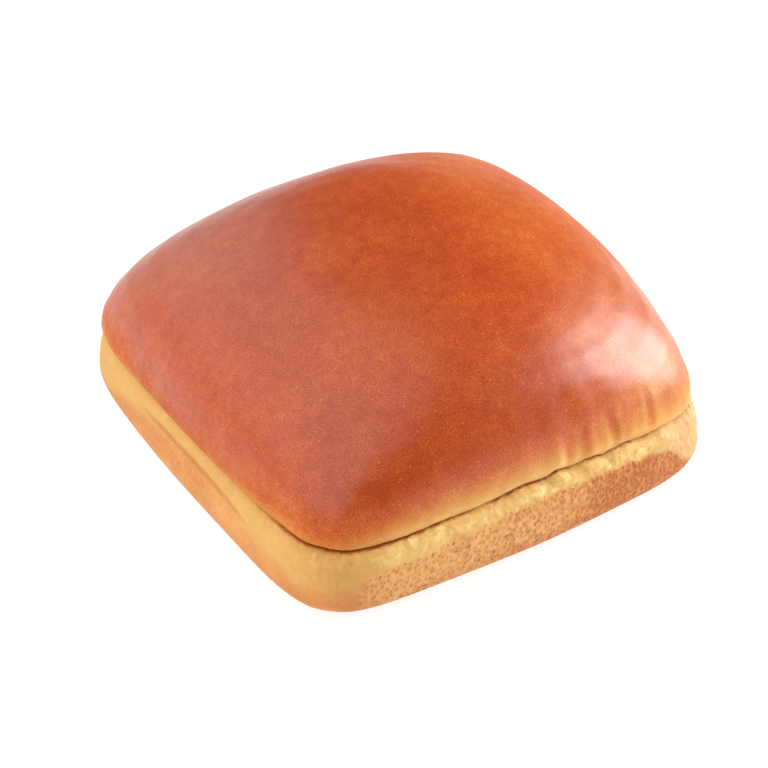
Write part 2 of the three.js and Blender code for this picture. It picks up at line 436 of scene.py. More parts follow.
class Skin:
    """The points of one mesh in millimetres, with fields worked out at each of them."""

    # Millimetres: a gap that counts as far, and the room kept free inside a solid's box.
    far: float = 99.0
    wide_room: float = 9.0
    margin: float = 0.03
    least_facing: float = 0.05

    def __init__(self, piece: bpy.types.Object) -> None:
        """Reads the points and normals of a piece.

        Args:
            piece: The object whose mesh is read.
        """
        mesh = piece.data
        count = len(mesh.vertices)
        places = np.empty(count * 3, np.float32)
        normals = np.empty(count * 3, np.float32)
        mesh.vertices.foreach_get("co", places)
        mesh.vertices.foreach_get("normal", normals)
        self.at = places.reshape(-1, 3).astype(float) / MM
        self.normal = normals.reshape(-1, 3).astype(float)
        self.travel = Outline().travel(self.at[:, 0], self.at[:, 1])

    @property
    def height(self) -> Field:
        """Returns the height of each point above the table, in millimetres."""
        return self.at[:, 2]

    @property
    def reach(self) -> Field:
        """Returns how far out each point lies, in millimetres, along its own rounded square."""
        return Outline().reach_of(self.at[:, 0], self.at[:, 1])

    def gap_to(self, other: bpy.types.Object, wanted: Field) -> Field:
        """Measures how near each wanted point is to another piece.

        Args:
            other: The other piece.
            wanted: True for the points that are measured.

        Returns:
            Millimetres; the points that aren't wanted get a long way.
        """
        tree = BVHTree.FromObject(other, bpy.context.evaluated_depsgraph_get())
        gaps = np.full(len(self.at), self.far)
        for index in np.flatnonzero(wanted):
            gaps[index] = tree.find_nearest(Vector(self.at[index]) * MM)[3] / MM
        return gaps

    def room(self, node: str) -> Field:
        """Measures how far each point may move outwards before it leaves a solid's box.

        Args:
            node: The solid that the piece stands for.

        Returns:
            Millimetres along the normals.
        """
        low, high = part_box(node)
        room = np.full(len(self.at), self.wide_room)
        for axis in (0, 1):
            place, facing = self.at[:, axis], self.normal[:, axis]
            side = np.where(facing > 0.0, high[axis] / MM - place, place - low[axis] / MM)
            room = np.minimum(room, (side - self.margin) / np.maximum(np.abs(facing), self.least_facing))
        return room

    def lumps(self, size: float, seed: float, stretch: Triple = (1.0, 1.0, 1.0)) -> Field:
        """Works out smooth noise.

        Args:
            size: How far apart the lumps are, in millimetres.
            seed: Moves the pattern, so that two fields differ.
            stretch: How much longer the lumps are along each axis.

        Returns:
            Values from about -1 to 1.
        """
        spots = self.at / (np.array(stretch) * size) + seed * np.array((13.7, 7.3, 19.1))
        return np.array([noise.noise(Vector(spot)) for spot in spots])

    def noise_of(self, lumps: tuple[Lump, ...]) -> Field:
        """Returns the sum of several noises at each point."""
        return sum(lump.swing * self.lumps(lump.size, lump.seed, lump.stretch) for lump in lumps)

    def pores(self, spacing: float, radius: float, seed: float, tall: float = 1.0) -> Field:
        """Works out round-walled pits around scattered points.

        Args:
            spacing: How far apart the pits are, in millimetres.
            radius: How wide a pit is from its middle, in millimetres.
            seed: Moves the pattern.
            tall: How much taller than wide a pit is.

        Returns:
            The depth of each point in its pit, from 0 outside to 1 in the middle.
        """
        spots = self.at / (np.array((1.0, 1.0, tall)) * spacing) + seed * np.array((5.1, 11.9, 3.3))
        near = np.array([noise.voronoi(Vector(spot))[0][0] for spot in spots]) * spacing
        return smooth(1.0 - near / radius, 0.0, 0.9)


# ---------------------------------------------------------------------------------------------------------
# Small helpers for materials
# ---------------------------------------------------------------------------------------------------------


class Kind(Enum):
    """The kinds of node that the finishes and the sky are made of."""

    ATTRIBUTE = "ShaderNodeAttribute"
    BACKGROUND = "ShaderNodeBackground"
    BUMP = "ShaderNodeBump"
    CELLS = "ShaderNodeTexVoronoi"
    CHANNELS = "ShaderNodeSeparateColor"
    MAPPING = "ShaderNodeMapping"
    MATH = "ShaderNodeMath"
    MIX = "ShaderNodeMix"
    NOISE = "ShaderNodeTexNoise"
    OUTPUT = "ShaderNodeOutputMaterial"
    PLACE = "ShaderNodeTexCoord"
    RAMP = "ShaderNodeValToRGB"
    RANGE = "ShaderNodeMapRange"
    SURFACE = "ShaderNodeBsdfPrincipled"
    VECTOR = "ShaderNodeVectorMath"
    WORLD = "ShaderNodeOutputWorld"


def hex_to_linear(code: str) -> Colour:
    """Turns an sRGB hex colour into the linear one that a shader takes.

    Args:
        code: Six hex digits.

    Returns:
        Red, green, blue and an alpha of 1.
    """
    channels = [int(code[index : index + 2], 16) / 255.0 for index in (0, 2, 4)]
    linear = [value / 12.92 if value <= 0.04045 else ((value + 0.055) / 1.055) ** 2.4 for value in channels]
    return (linear[0], linear[1], linear[2], 1.0)


def scale_for(size: float) -> float:
    """Returns the scale of a pattern whose spots lie this many millimetres apart."""
    return 1.0 / (size * MM)


def add_node(tree: bpy.types.NodeTree, kind: Kind, inputs: Inputs, **settings: object) -> bpy.types.Node:
    """Adds one node with its settings, its socket values and its links.

    Args:
        tree: The node tree that gets it.
        kind: The node's kind.
        inputs: For each input's name or number, the socket that is linked to it or the value that it holds.
        settings: The node's own properties by name.

    Returns:
        The new node.
    """
    node = tree.nodes.new(kind.value)
    for name, value in settings.items():
        setattr(node, name, value)
    for key, value in inputs.items():
        if isinstance(value, Socket):
            tree.links.new(value, node.inputs[key])
        else:
            node.inputs[key].default_value = value
    return node


def set_stops(ramp: bpy.types.Node, stops: list[tuple[float, str]]) -> None:
    """Gives a colour ramp its stops.

    Args:
        ramp: The colour ramp node.
        stops: Each stop's place and its hex colour, in order.
    """
    elements = ramp.color_ramp.elements
    while len(elements) > 1:
        elements.remove(elements[-1])
    elements[0].position = stops[0][0]
    elements[0].color = hex_to_linear(stops[0][1])
    for place, code in stops[1:]:
        elements.new(place).color = hex_to_linear(code)


class Finish:
    """What all the finishes share: a fresh node tree, and how it is filled and ended."""

    name: str = "finish"
    # The numbers of a colour mix's sockets.
    mix_share: int = 0
    mix_under: int = 6
    mix_over: int = 7
    mix_result: int = 2

    def __init__(self) -> None:
        """Starts the material with an empty tree."""
        self.material = bpy.data.materials.new(self.name)
        self.material.use_nodes = True
        self.tree = self.material.node_tree
        self.tree.nodes.clear()
        self.place = self.wire(Kind.PLACE, {}, "Object")

    def wire(self, kind: Kind, inputs: Inputs, output: str | int = 0, **settings: object) -> Socket:
        """Adds one node to this finish.

        Args:
            kind: The node's kind.
            inputs: What each input is linked to or holds.
            output: The name or number of the output that is wanted.
            settings: The node's own properties by name.

        Returns:
            The wanted output's socket.
        """
        return add_node(self.tree, kind, inputs, **settings).outputs[output]

    def paint(self, under: Socket | Colour, layers: list[tuple[Socket, Socket | str]]) -> Socket:
        """Lays colours over one another.

        Args:
            under: The colour at the bottom.
            layers: How much of each colour shows, and its socket or hex colour; the last lies on top.

        Returns:
            The socket of the colour that shows.
        """
        for share, over in layers:
            top = over if isinstance(over, Socket) else hex_to_linear(over)
            inputs = {self.mix_share: share, self.mix_under: under, self.mix_over: top}
            under = self.wire(Kind.MIX, inputs, self.mix_result, data_type="RGBA")
        return under

    def finished(self, looks: Inputs) -> bpy.types.Material:
        """Ends the tree with its surface.

        Args:
            looks: The surface's colour, gloss and relief.

        Returns:
            The finished material.
        """
        add_node(self.tree, Kind.OUTPUT, {"Surface": self.wire(Kind.SURFACE, looks)})
        return self.material


@dataclass(frozen=True)
class Mottle:
    """One noise: its spots' distance apart in millimetres, its detail, and its swing in the colour."""

    size: float
    detail: float
    swing: float = 0.0
    distortion: float = 0.0

    def inputs(self, place: Socket) -> Inputs:
        """Returns what the noise's inputs hold, at the object's own size."""
        fixed = {"Scale": scale_for(self.size), "Detail": self.detail, "Distortion": self.distortion}
        return {"Vector": place, **fixed}


@dataclass(frozen=True)
class CrustColours:
    """The egg-washed crust from its palest gold to its deepest brown."""

    cream: str = "EBC27E"
    gold: str = "DCA058"
    amber: str = "CE823C"
    orange: str = "C26427"
    chestnut: str = "B8501B"
    brown: str = "B14515"
    deep: str = "9C380F"
    speck: str = "E08A44"


class EggWashedCrust(Finish):
    """Egg-washed baked crust: a thin satin glaze over brown that pales to gold at the waist."""

    name = "egg_washed_crust_baked"
    colours = CrustColours()
    # Soft patches of an uneven oven, blotches where the egg wash pooled, and the grain that looks matt.
    patch = Mottle(9.09, 3.0, 0.16)
    blotch = Mottle(2.381, 4.0, 0.22)
    grain = Mottle(0.2564, 3.0, 0.8)
    prick_gap = 1.282

    def make(self) -> bpy.types.Material:
        """Builds the crust.

        Returns:
            The finished material.
        """
        bake = self.wire(Kind.ATTRIBUTE, {}, "Fac", attribute_name=Mark.BAKE.value)
        noises = []
        shifts: Socket | float = 0.0
        for mottle in (self.patch, self.blotch, self.grain):
            noises.append(self.wire(Kind.NOISE, mottle.inputs(self.place), "Fac"))
            swing = {"Value": noises[-1], "To Min": -mottle.swing, "To Max": mottle.swing}
            centred = self.wire(Kind.RANGE, swing, clamp=False)
            shifts = self.wire(Kind.MATH, {0: shifts, 1: centred}, operation="ADD")
        # The speckle fades out in the pale band at the waist.
        share = self.wire(Kind.RANGE, {"Value": bake, "From Min": 0.2, "From Max": 0.7, "To Min": 0.12})
        masked = self.wire(Kind.MATH, {0: shifts, 1: share}, operation="MULTIPLY")
        level = self.wire(Kind.MATH, {0: bake, 1: masked}, operation="ADD")
        ramp = add_node(self.tree, Kind.RAMP, {"Fac": level})
        shades = self.colours
        set_stops(
            ramp,
            [
                (0.0, shades.cream),
                (0.14, shades.gold),
                (0.3, shades.amber),
                (0.48, shades.orange),
                (0.66, shades.chestnut),
                (0.84, shades.brown),
                (1.0, shades.deep),
            ],
        )
        return self.glazed(self.pricked(ramp.outputs["Color"]), noises[1], noises[2])

    def pricked(self, colour: Socket) -> Socket:
        """Adds pin pricks where tiny bubbles burst in the wash, some pale and some dark.

        Args:
            colour: The crust's colour.

        Returns:
            The colour with the pricks in it.
        """
        cells = {"Vector": self.place, "Scale": scale_for(self.prick_gap)}
        pricks = add_node(self.tree, Kind.CELLS, cells)
        near = {"Value": pricks.outputs["Distance"], "From Min": 0.2, "From Max": 0.08, "To Max": 0.5}
        prick = self.wire(Kind.RANGE, near)
        chance = self.wire(Kind.CHANNELS, {"Color": pricks.outputs["Color"]})
        is_pale = self.wire(Kind.RANGE, {"Value": chance, "From Min": 0.6, "From Max": 0.9})
        low_chance = {"Value": chance, "From Min": 0.4, "From Max": 0.3, "To Max": 0.7}
        is_dark = self.wire(Kind.RANGE, low_chance)
        pale = self.wire(Kind.MATH, {0: prick, 1: is_pale}, operation="MULTIPLY")
        dark = self.wire(Kind.MATH, {0: prick, 1: is_dark}, operation="MULTIPLY")
        return self.paint(colour, [(dark, self.colours.deep), (pale, self.colours.speck)])

    def glazed(self, colour: Socket, blotches: Socket, grain: Socket) -> bpy.types.Material:
        """Adds the fine bumps and the glaze.

        Args:
            colour: The crust's colour.
            blotches: The coarser noise.
            grain: The fine noise.

        Returns:
            The finished material.
        """
        fine = self.wire(Kind.BUMP, {"Height": grain, "Strength": 0.5, "Distance": 0.06 * MM})
        wide = self.wire(
            Kind.BUMP, {"Height": blotches, "Strength": 0.4, "Distance": 0.2 * MM, "Normal": fine}
        )
        # The brush left the wash thick on the near sides, and thin on the dome's top and down at the cut.
        wash = self.wire(Kind.ATTRIBUTE, {}, "Fac", attribute_name=Mark.WASH.value)
        coat = self.wire(Kind.RANGE, {"Value": wash, "To Min": 0.15, "To Max": 0.85})
        gloss = self.wire(Kind.RANGE, {"Value": blotches, "To Min": 0.38, "To Max": 0.5})
        matt = self.wire(Kind.RANGE, {"Value": wash, "From Min": 1.0, "From Max": 0.0, "To Max": 0.22})
        return self.finished(
            {
                "Base Color": colour,
                "Roughness": self.wire(Kind.MATH, {0: gloss, 1: matt}, operation="ADD"),
                "IOR": 1.22,
                "Coat Weight": coat,
                "Coat Roughness": 0.33,
                "Coat IOR": 1.5,
                "Normal": wide,
            }
        )


@dataclass(frozen=True)
class HeelColours:
    """The heel's colours: a yellow crumb roll over a tan, pored crust."""

    yellow: str = "E5BC70"
    golden: str = "D3A359"
    amber: str = "CB964C"
    peach: str = "D4A56C"
    tan: str = "DA9B56"
    toast: str = "BC6A2C"
    # Painted light on the walls between the pores.
    ridge: str = "E9B172"
    # Painted shade in the pores, along the groove and on the roll at the near corner.
    pit: str = "B05A18"
    # Painted shade: the dark brown line along the slit, under the crown's rim.
    slit: str = "A24A14"
    # The last two: painted light on the tops of the roll's flakes, and painted shade in the hollows under
    # them.
    cream: str = "F3D690"
    flake_shade: str = "C08E3C"


class BaseCrust(Finish):
    """Bottom crust baked against a sheet: dull, finely pored and tan, under a torn yellow roll."""

    name = "pan_baked_base_crust"
    colours = HeelColours()
    # Millimetres: the crumb's mottling and grain, the torn flakes, and the wobble in the pores' shape.
    mottle = Mottle(2.0, 3.0)
    grain = Mottle(0.4167, 3.0)
    flakes = Mottle(1.923, 4.0, distortion=0.7)
    wobble = Mottle(0.6667, 1.0)
    wobble_reach = 0.9
    wide_pore_gap = 1.695
    fine_pore_gap = 0.8
    pore_squash = 0.75

    def make(self) -> bpy.types.Material:
        """Builds the base crust.

        Returns:
            The finished material.
        """
        marks = {mark: self.wire(Kind.ATTRIBUTE, {}, "Fac", attribute_name=mark.value) for mark in Mark}
        hollow, ridge = self.pores()
        torn = self.wire(Kind.NOISE, self.flakes.inputs(self.place), "Fac")
        crust = self.base_colour(marks, hollow, ridge)
        joined = self.paint(self.roll_colour(marks, torn), [(marks[Mark.TAN], crust)])
        # Painted shade in the pores, along the groove and on the roll at the near corner.
        pit = self.wire(Kind.MATH, {0: marks[Mark.PAINTED_SHADE], 1: 0.5}, operation="MULTIPLY")
        # A dark brown line of painted shade along the slit, under the crown's rim.
        shaded = self.paint(joined, [(pit, self.colours.pit), (marks[Mark.SLIT_SHADE], self.colours.slit)])
        rough = self.relief(marks, hollow, torn)
        grain = self.wire(Kind.NOISE, self.grain.inputs(self.place), "Fac")
        bump = self.wire(
            Kind.BUMP, {"Height": grain, "Strength": 0.5, "Distance": 0.12 * MM, "Normal": rough}
        )
        return self.finished({"Base Color": shaded, "Roughness": 0.62, "IOR": 1.42, "Normal": bump})

    def pores(self) -> tuple[Socket, Socket]:
        """Works out the pores: open ones 0.8 mm wide, and between them a net of 0.4 mm ones.

        Returns:
            The pores, and the walls that stand between the fine ones.
        """
        wobble = self.wire(Kind.NOISE, self.wobble.inputs(self.place), "Color")
        reach = (self.wobble_reach * MM,) * 3
        shift = self.wire(Kind.VECTOR, {0: wobble, 1: reach, 2: self.place}, operation="MULTIPLY_ADD")
        # The pores are a little taller than wide.
        tall = self.wire(Kind.MAPPING, {"Vector": shift, "Scale": (1.0, 1.0, self.pore_squash)})
        wide = add_node(self.tree, Kind.CELLS, {"Vector": tall, "Scale": scale_for(self.wide_pore_gap)})
        near = self.wire(Kind.CELLS, {"Vector": tall, "Scale": scale_for(self.fine_pore_gap)}, "Distance")
        chance = self.wire(Kind.CHANNELS, {"Color": wide.outputs["Color"]})
        away = wide.outputs["Distance"]
        is_wide = self.wire(Kind.RANGE, {"Value": away, "From Min": 0.27, "From Max": 0.15})
        is_open = self.wire(Kind.RANGE, {"Value": chance, "From Min": 0.45, "From Max": 0.65})
        net = {"Value": near, "From Min": 0.36, "From Max": 0.17, "To Max": 0.6}
        is_fine = self.wire(Kind.RANGE, net)
        ridge = self.wire(Kind.RANGE, {"Value": near, "From Min": 0.5, "From Max": 0.75})
        pore = self.wire(Kind.MATH, {0: is_wide, 1: is_open}, operation="MULTIPLY")
        return self.wire(Kind.MATH, {0: pore, 1: is_fine}, operation="MAXIMUM"), ridge

    def roll_colour(self, marks: dict[Mark, Socket], torn: Socket) -> Socket:
        """Works out the roll's colour, with painted light on the flakes and painted shade in the hollows
        under them.

        Args:
            marks: The fields that the piece carries.
            torn: The noise of the torn crumb.

        Returns:
            The colour's socket.
        """
        shades = self.colours
        pale = marks[Mark.PALE]
        shares = []
        # Painted light on the flakes, where the torn noise is high, and painted shade in the hollows under
        # them, where it is low.
        for low, high, most in ((0.52, 0.68, 0.85), (0.45, 0.3, 0.65)):
            span = {"Value": torn, "From Min": low, "From Max": high, "To Max": most}
            inputs = {0: self.wire(Kind.RANGE, span), 1: marks[Mark.CRUMBLY]}
            shares.append(self.wire(Kind.MATH, inputs, operation="MULTIPLY"))
        mottle = self.wire(Kind.NOISE, self.mottle.inputs(self.place), "Fac")
        golden = self.paint(hex_to_linear(shades.amber), [(mottle, shades.golden)])
        yellow = self.paint(hex_to_linear(shades.golden), [(mottle, shades.yellow)])
        is_soft = self.wire(Kind.RANGE, {"Value": pale, "From Min": 0.1, "From Max": 0.6})
        is_peach = self.wire(Kind.RANGE, {"Value": pale, "From Min": 0.65, "From Max": 1.0})
        layers = [(is_soft, yellow), (shares[0], shades.cream), (shares[1], shades.flake_shade)]
        return self.paint(golden, layers + [(is_peach, shades.peach)])

    def base_colour(self, marks: dict[Mark, Socket], hollow: Socket, ridge: Socket) -> Socket:
        """Works out the base crust's colour, with painted shade in the pores and painted light on the walls
        between them.

        Args:
            marks: The fields that the piece carries.
            hollow: The pores.
            ridge: The walls between them.

        Returns:
            The colour's socket.
        """
        toast, sponge = marks[Mark.TOAST], marks[Mark.SPONGE]
        # Painted light on the walls between the pores, less of it where the crust is toasted, and painted
        # shade in the pores.
        wall_light_share = self.wire(Kind.RANGE, {"Value": toast, "From Min": 1.9, "From Max": 0.3, "To Max": 0.6})
        wall = self.wire(Kind.MATH, {0: ridge, 1: wall_light_share}, operation="MULTIPLY")
        lit = self.wire(Kind.MATH, {0: wall, 1: sponge}, operation="MULTIPLY")
        pore = self.wire(Kind.MATH, {0: hollow, 1: 0.8}, operation="MULTIPLY")
        dark = self.wire(Kind.MATH, {0: pore, 1: sponge}, operation="MULTIPLY")
        shades = self.colours
        layers = [(toast, shades.toast), (lit, shades.ridge), (dark, shades.pit)]
        return self.paint(hex_to_linear(shades.tan), layers)

    def relief(self, marks: dict[Mark, Socket], hollow: Socket, torn: Socket) -> Socket:
        """Works out the relief: pores sink into the base crust and flakes stand up on the roll.

        Args:
            marks: The fields that the piece carries.
            hollow: The pores.
            torn: The noise of the torn crumb.

        Returns:
            The socket of the bumped normal.
        """
        sunk: Socket | float = -1.8
        for factor in (hollow, marks[Mark.SPONGE], marks[Mark.TAN]):
            sunk = self.wire(Kind.MATH, {0: sunk, 1: factor}, operation="MULTIPLY")
        flaky = self.wire(Kind.MATH, {0: marks[Mark.CRUMBLY], 1: 1.6}, operation="MULTIPLY")
        raised = self.wire(Kind.MATH, {0: torn, 1: flaky}, operation="MULTIPLY")
        height = self.wire(Kind.MATH, {0: sunk, 1: raised}, operation="ADD")
        return self.wire(Kind.BUMP, {"Height": height, "Strength": 0.5, "Distance": 0.4 * MM})


class CutCrumb(Finish):
    """Sliced soft crumb: matt cream yellow with open cells."""

    name = "sliced_brioche_crumb"
    # The cells' hollows get a painted shade; their walls are cream.
    hollow = "D2A057"
    cream = "E9C987"
    cell_gap = 1.613
    grain = Mottle(0.4, 3.0)

    def make(self) -> bpy.types.Material:
        """Builds the crumb.

        Returns:
            The finished material.
        """
        size = scale_for(self.cell_gap)
        cells = self.wire(Kind.CELLS, {"Vector": self.place, "Scale": size}, "Distance")
        grain = self.wire(Kind.NOISE, self.grain.inputs(self.place), "Fac")
        wall = self.wire(Kind.RANGE, {"Value": cells, "From Min": 0.15, "From Max": 0.5})
        # Painted shade in the cells' hollows, which are darker than the walls.
        colour = self.paint(hex_to_linear(self.hollow), [(wall, self.cream)])
        bump = self.wire(Kind.BUMP, {"Height": wall, "Strength": 0.8, "Distance": 0.4 * MM})
        fine = self.wire(
            Kind.BUMP, {"Height": grain, "Strength": 0.6, "Distance": 0.1 * MM, "Normal": bump}
        )
        return self.finished({"Base Color": colour, "Roughness": 0.85, "IOR": 1.4, "Normal": fine})


class MattPaper(Finish):
    """White background paper: matt, with the faintest fibre."""

    name = "matt_white_paper"
    shades = ("929292", "969696")
    fibre = Mottle(3.3333, 2.0)

    def make(self) -> bpy.types.Material:
        """Builds the paper.

        Returns:
            The finished material.
        """
        fibre = self.wire(Kind.NOISE, self.fibre.inputs(self.place), "Fac")
        ramp = add_node(self.tree, Kind.RAMP, {"Fac": fibre})
        set_stops(ramp, [(0.0, self.shades[0]), (1.0, self.shades[1])])
        return self.finished(
            {
                "Base Color": ramp.outputs["Color"],
                "Roughness": 0.9,
                "IOR": 1.3,
                "Emission Color": hex_to_linear("FFFFFF"),
                "Emission Strength": 0.8,
            }
        )


# ---------------------------------------------------------------------------------------------------------
# The studio: camera, floor and light
# ---------------------------------------------------------------------------------------------------------


@dataclass(frozen=True)
class Side:
    """One edge of the sky's softbox: which way lies inside it, and where dark turns to bright."""

    inside: Triple
    dark: float
    bright: float


@dataclass(frozen=True)
class Lamp:
    """One softbox: where it hangs, in degrees and metres, how big and strong, and if gloss shows it."""

    bearing: float
    height: float
    away: float
    width: float
    tall: float
    watts: float
    mirrored: bool = True


@dataclass
class Studio:
    """A white table, a big soft light overhead on the left, smaller ones at the sides, and the camera."""

    azimuth: float = -33.437
    elevation: float = 39.088
    roll: float = -1.131
    distance: float = 742.25
    aim: Triple = (-5.18, -2.61, 13.49)
    lens: float = 169.5
    floor_size: float = 12.0
    floor_drop: float = 0.05
    soft_glow: float = 1.62
    dim_glow: float = 0.05
    # The softbox hangs overhead and to the left: its right, front and low edges.
    softbox_sides: tuple[Side, ...] = (
        Side((-0.95, 0.274, 0.145), -0.055, 0.095),
        Side((-0.535, 0.711, 0.456), -0.09, 0.09),
        Side((0.0, 0.0, 1.0), 0.02, 0.18),
    )
    near_end: Triple = (-0.5, -0.6, 0.62)
    lamp_aim: float = 30.0
    right_lamp: Lamp = Lamp(-14.0, 18.0, 1.2, 0.95, 0.66, 22.5)
    left_lamp: Lamp = Lamp(203.0, 11.0, 1.2, 0.6, 0.34, 1.8, False)

    def build(self) -> None:
        """Puts up the camera, the floor and the lights."""
        self.add_camera()
        self.add_floor()
        self.add_dome()
        self.add_lamp("right_softbox", self.right_lamp)
        self.add_lamp("left_softbox", self.left_lamp)
        bpy.context.scene.view_settings.view_transform = "Standard"

    def add_camera(self) -> None:
        """Sets the camera at the photograph's viewing angle."""
        turn, tilt, roll = (math.radians(angle) for angle in (self.azimuth, self.elevation, self.roll))
        back = Vector((math.sin(turn) * math.cos(tilt), -math.cos(turn) * math.cos(tilt), math.sin(tilt)))
        right = Vector((math.cos(turn), math.sin(turn), 0.0))
        up = back.cross(right)
        across = right * math.cos(roll) - up * math.sin(roll)
        rise = right * math.sin(roll) + up * math.cos(roll)
        data = bpy.data.cameras.new("photo_camera")
        data.lens = self.lens
        data.sensor_width = 36.0
        data.clip_start = 0.05
        data.clip_end = 50.0
        camera = bpy.data.objects.new("photo_camera", data)
        bpy.context.scene.collection.objects.link(camera)
        place = (Vector(self.aim) + back * self.distance) * MM
        turned = Matrix((across, rise, back)).transposed().to_4x4()
        camera.matrix_world = Matrix.Translation(place) @ turned
        bpy.context.scene.camera = camera

    def add_floor(self) -> None:
        """Lays the plain pale floor."""
        deselect_all()
        bpy.ops.mesh.primitive_plane_add(size=self.floor_size, location=(0.0, 0.0, -self.floor_drop * MM))
        floor = bpy.context.object
        floor.name = "paper_floor"
        floor.data.materials.append(MattPaper().make())

    def add_dome(self) -> None:
        """Lights the left and top of the sky like one great softbox, and leaves the right side dim."""
        world = bpy.data.worlds.new("studio_dome")
        bpy.context.scene.world = world
        world.use_nodes = True
        tree = world.node_tree
        tree.nodes.clear()
        way = add_node(tree, Kind.PLACE, {}).outputs["Generated"]
        lit: Socket | float = 1.0
        for side in self.softbox_sides:
            dot = add_node(tree, Kind.VECTOR, {0: way, 1: side.inside}, operation="DOT_PRODUCT")
            span = {"Value": dot.outputs["Value"], "From Min": side.dark, "From Max": side.bright}
            edge = add_node(tree, Kind.RANGE, span, interpolation_type="SMOOTHSTEP").outputs["Result"]
            lit = add_node(tree, Kind.MATH, {0: lit, 1: edge}, operation="MULTIPLY").outputs[0]
        # The softbox is brighter at its near end than at its far end.
        lean = add_node(tree, Kind.VECTOR, {0: way, 1: self.near_end}, operation="DOT_PRODUCT")
        span = {"Value": lean.outputs["Value"], "From Min": -0.3, "From Max": 0.9}
        fall = add_node(tree, Kind.RANGE, {**span, "To Min": 0.84, "To Max": 1.12}).outputs["Result"]
        lit = add_node(tree, Kind.MATH, {0: lit, 1: fall}, operation="MULTIPLY").outputs[0]
        span = {"Value": lit, "To Min": self.dim_glow, "To Max": self.soft_glow}
        glow = add_node(tree, Kind.RANGE, span, clamp=False).outputs["Result"]
        white = hex_to_linear("FFFFFF")
        sky = add_node(tree, Kind.BACKGROUND, {"Color": white, "Strength": glow})
        add_node(tree, Kind.WORLD, {"Surface": sky.outputs[0]})

    def add_lamp(self, name: str, lamp: Lamp) -> None:
        """Hangs one softbox that faces the bun.

        Args:
            name: What the light is called.
            lamp: Where it hangs and how big and strong it is.
        """
        bearing, height = math.radians(lamp.bearing), math.radians(lamp.height)
        toward = Vector(
            (math.cos(bearing) * math.cos(height), math.sin(bearing) * math.cos(height), math.sin(height))
        )
        data = bpy.data.lights.new(name, "AREA")
        data.shape = "RECTANGLE"
        data.size = lamp.width
        data.size_y = lamp.tall
        data.energy = lamp.watts
        light = bpy.data.objects.new(name, data)
        bpy.context.scene.collection.objects.link(light)
        light.location = toward * lamp.away + Vector((0.0, 0.0, self.lamp_aim * MM))
        light.rotation_mode = "QUATERNION"
        light.rotation_quaternion = toward.to_track_quat("Z", "Y")
        light.visible_camera = False
        light.visible_glossy = lamp.mirrored


# ---------------------------------------------------------------------------------------------------------
# The two pieces of bread
# ---------------------------------------------------------------------------------------------------------


@dataclass(frozen=True)
class Cut:
    """The slice between the two pieces, as both of them follow it round."""

    # How far the cut climbs, in millimetres, where the crumb tore in arches along the front.
    rise: Ribbon = Ribbon(
        (
            (-187.0, 0.2), (-160.0, 0.5), (-150.0, 0.0), (-120.0, 0.4), (-100.0, 0.0), (-70.0, 0.0),
            (0.0, 0.0), (14.0, 0.2), (23.0, 0.45), (33.0, 0.1), (37.0, 0.1), (45.0, 0.6), (49.5, 0.1),
            (50.8, 0.2), (52.9, 1.0), (58.0, 0.2), (59.0, 0.4), (61.0, 0.8), (63.0, 0.75), (66.0, 0.1),
            (66.8, 0.3), (71.0, 0.85), (77.0, 0.2), (94.0, 0.0), (120.0, 0.5), (130.0, 0.0),
            (150.0, 0.4),
        )
    )
    # How wide the slit stands open beyond the solids' own gap, in millimetres.
    gape: Ribbon = Ribbon(
        (
            (-187.0, -0.15), (-140.0, 0.0), (-93.0, -0.22), (-40.0, -0.22), (-17.0, -0.1), (-8.0, 0.05),
            (0.0, 0.2), (8.0, 0.12), (25.0, 0.05), (33.0, -0.08), (45.0, 0.05), (60.0, 0.1),
            (75.0, 0.05), (88.0, -0.22), (120.0, -0.1), (150.0, 0.05),
        )
    )


@dataclass(frozen=True)
class Pleat:
    """One soft fold in the crown's skirt.

    It stands at travel `foot` at the bottom and at `head` at the top, `half` millimetres to each side.
    A positive strength is a ridge that catches light, a negative one is a furrow.
    """

    foot: float
    head: float
    half: float
    strength: float
    low: float = 19.0
    high: float = 27.5


@dataclass
class Loaf:
    """What both pieces of bread share: a block that is drawn onto its CAD solid, closed and rounded."""

    cut: Cut
    levels_before: int = 1
    levels_after: int = 2
    smooth_angle: float = 70.0

    def close(self, piece: bpy.types.Object) -> None:
        """Closes the open ends of the shell, each piece in its own way."""
        raise NotImplementedError

    def settle_on_cad(self, piece: bpy.types.Object, solid: bpy.types.Object) -> None:
        """Draws the block onto the CAD solid and rounds it.

        Args:
            piece: The block.
            solid: The solid whose form it takes.
        """
        apply_modifier(piece, "SHRINKWRAP", target=solid, wrap_method="NEAREST_SURFACEPOINT")
        self.close(piece)
        apply_modifier(piece, "SUBSURF", levels=self.levels_before, render_levels=self.levels_before)
        apply_modifier(piece, "SHRINKWRAP", target=solid, wrap_method="NEAREST_SURFACEPOINT")
        apply_modifier(piece, "SUBSURF", levels=self.levels_after, render_levels=self.levels_after)


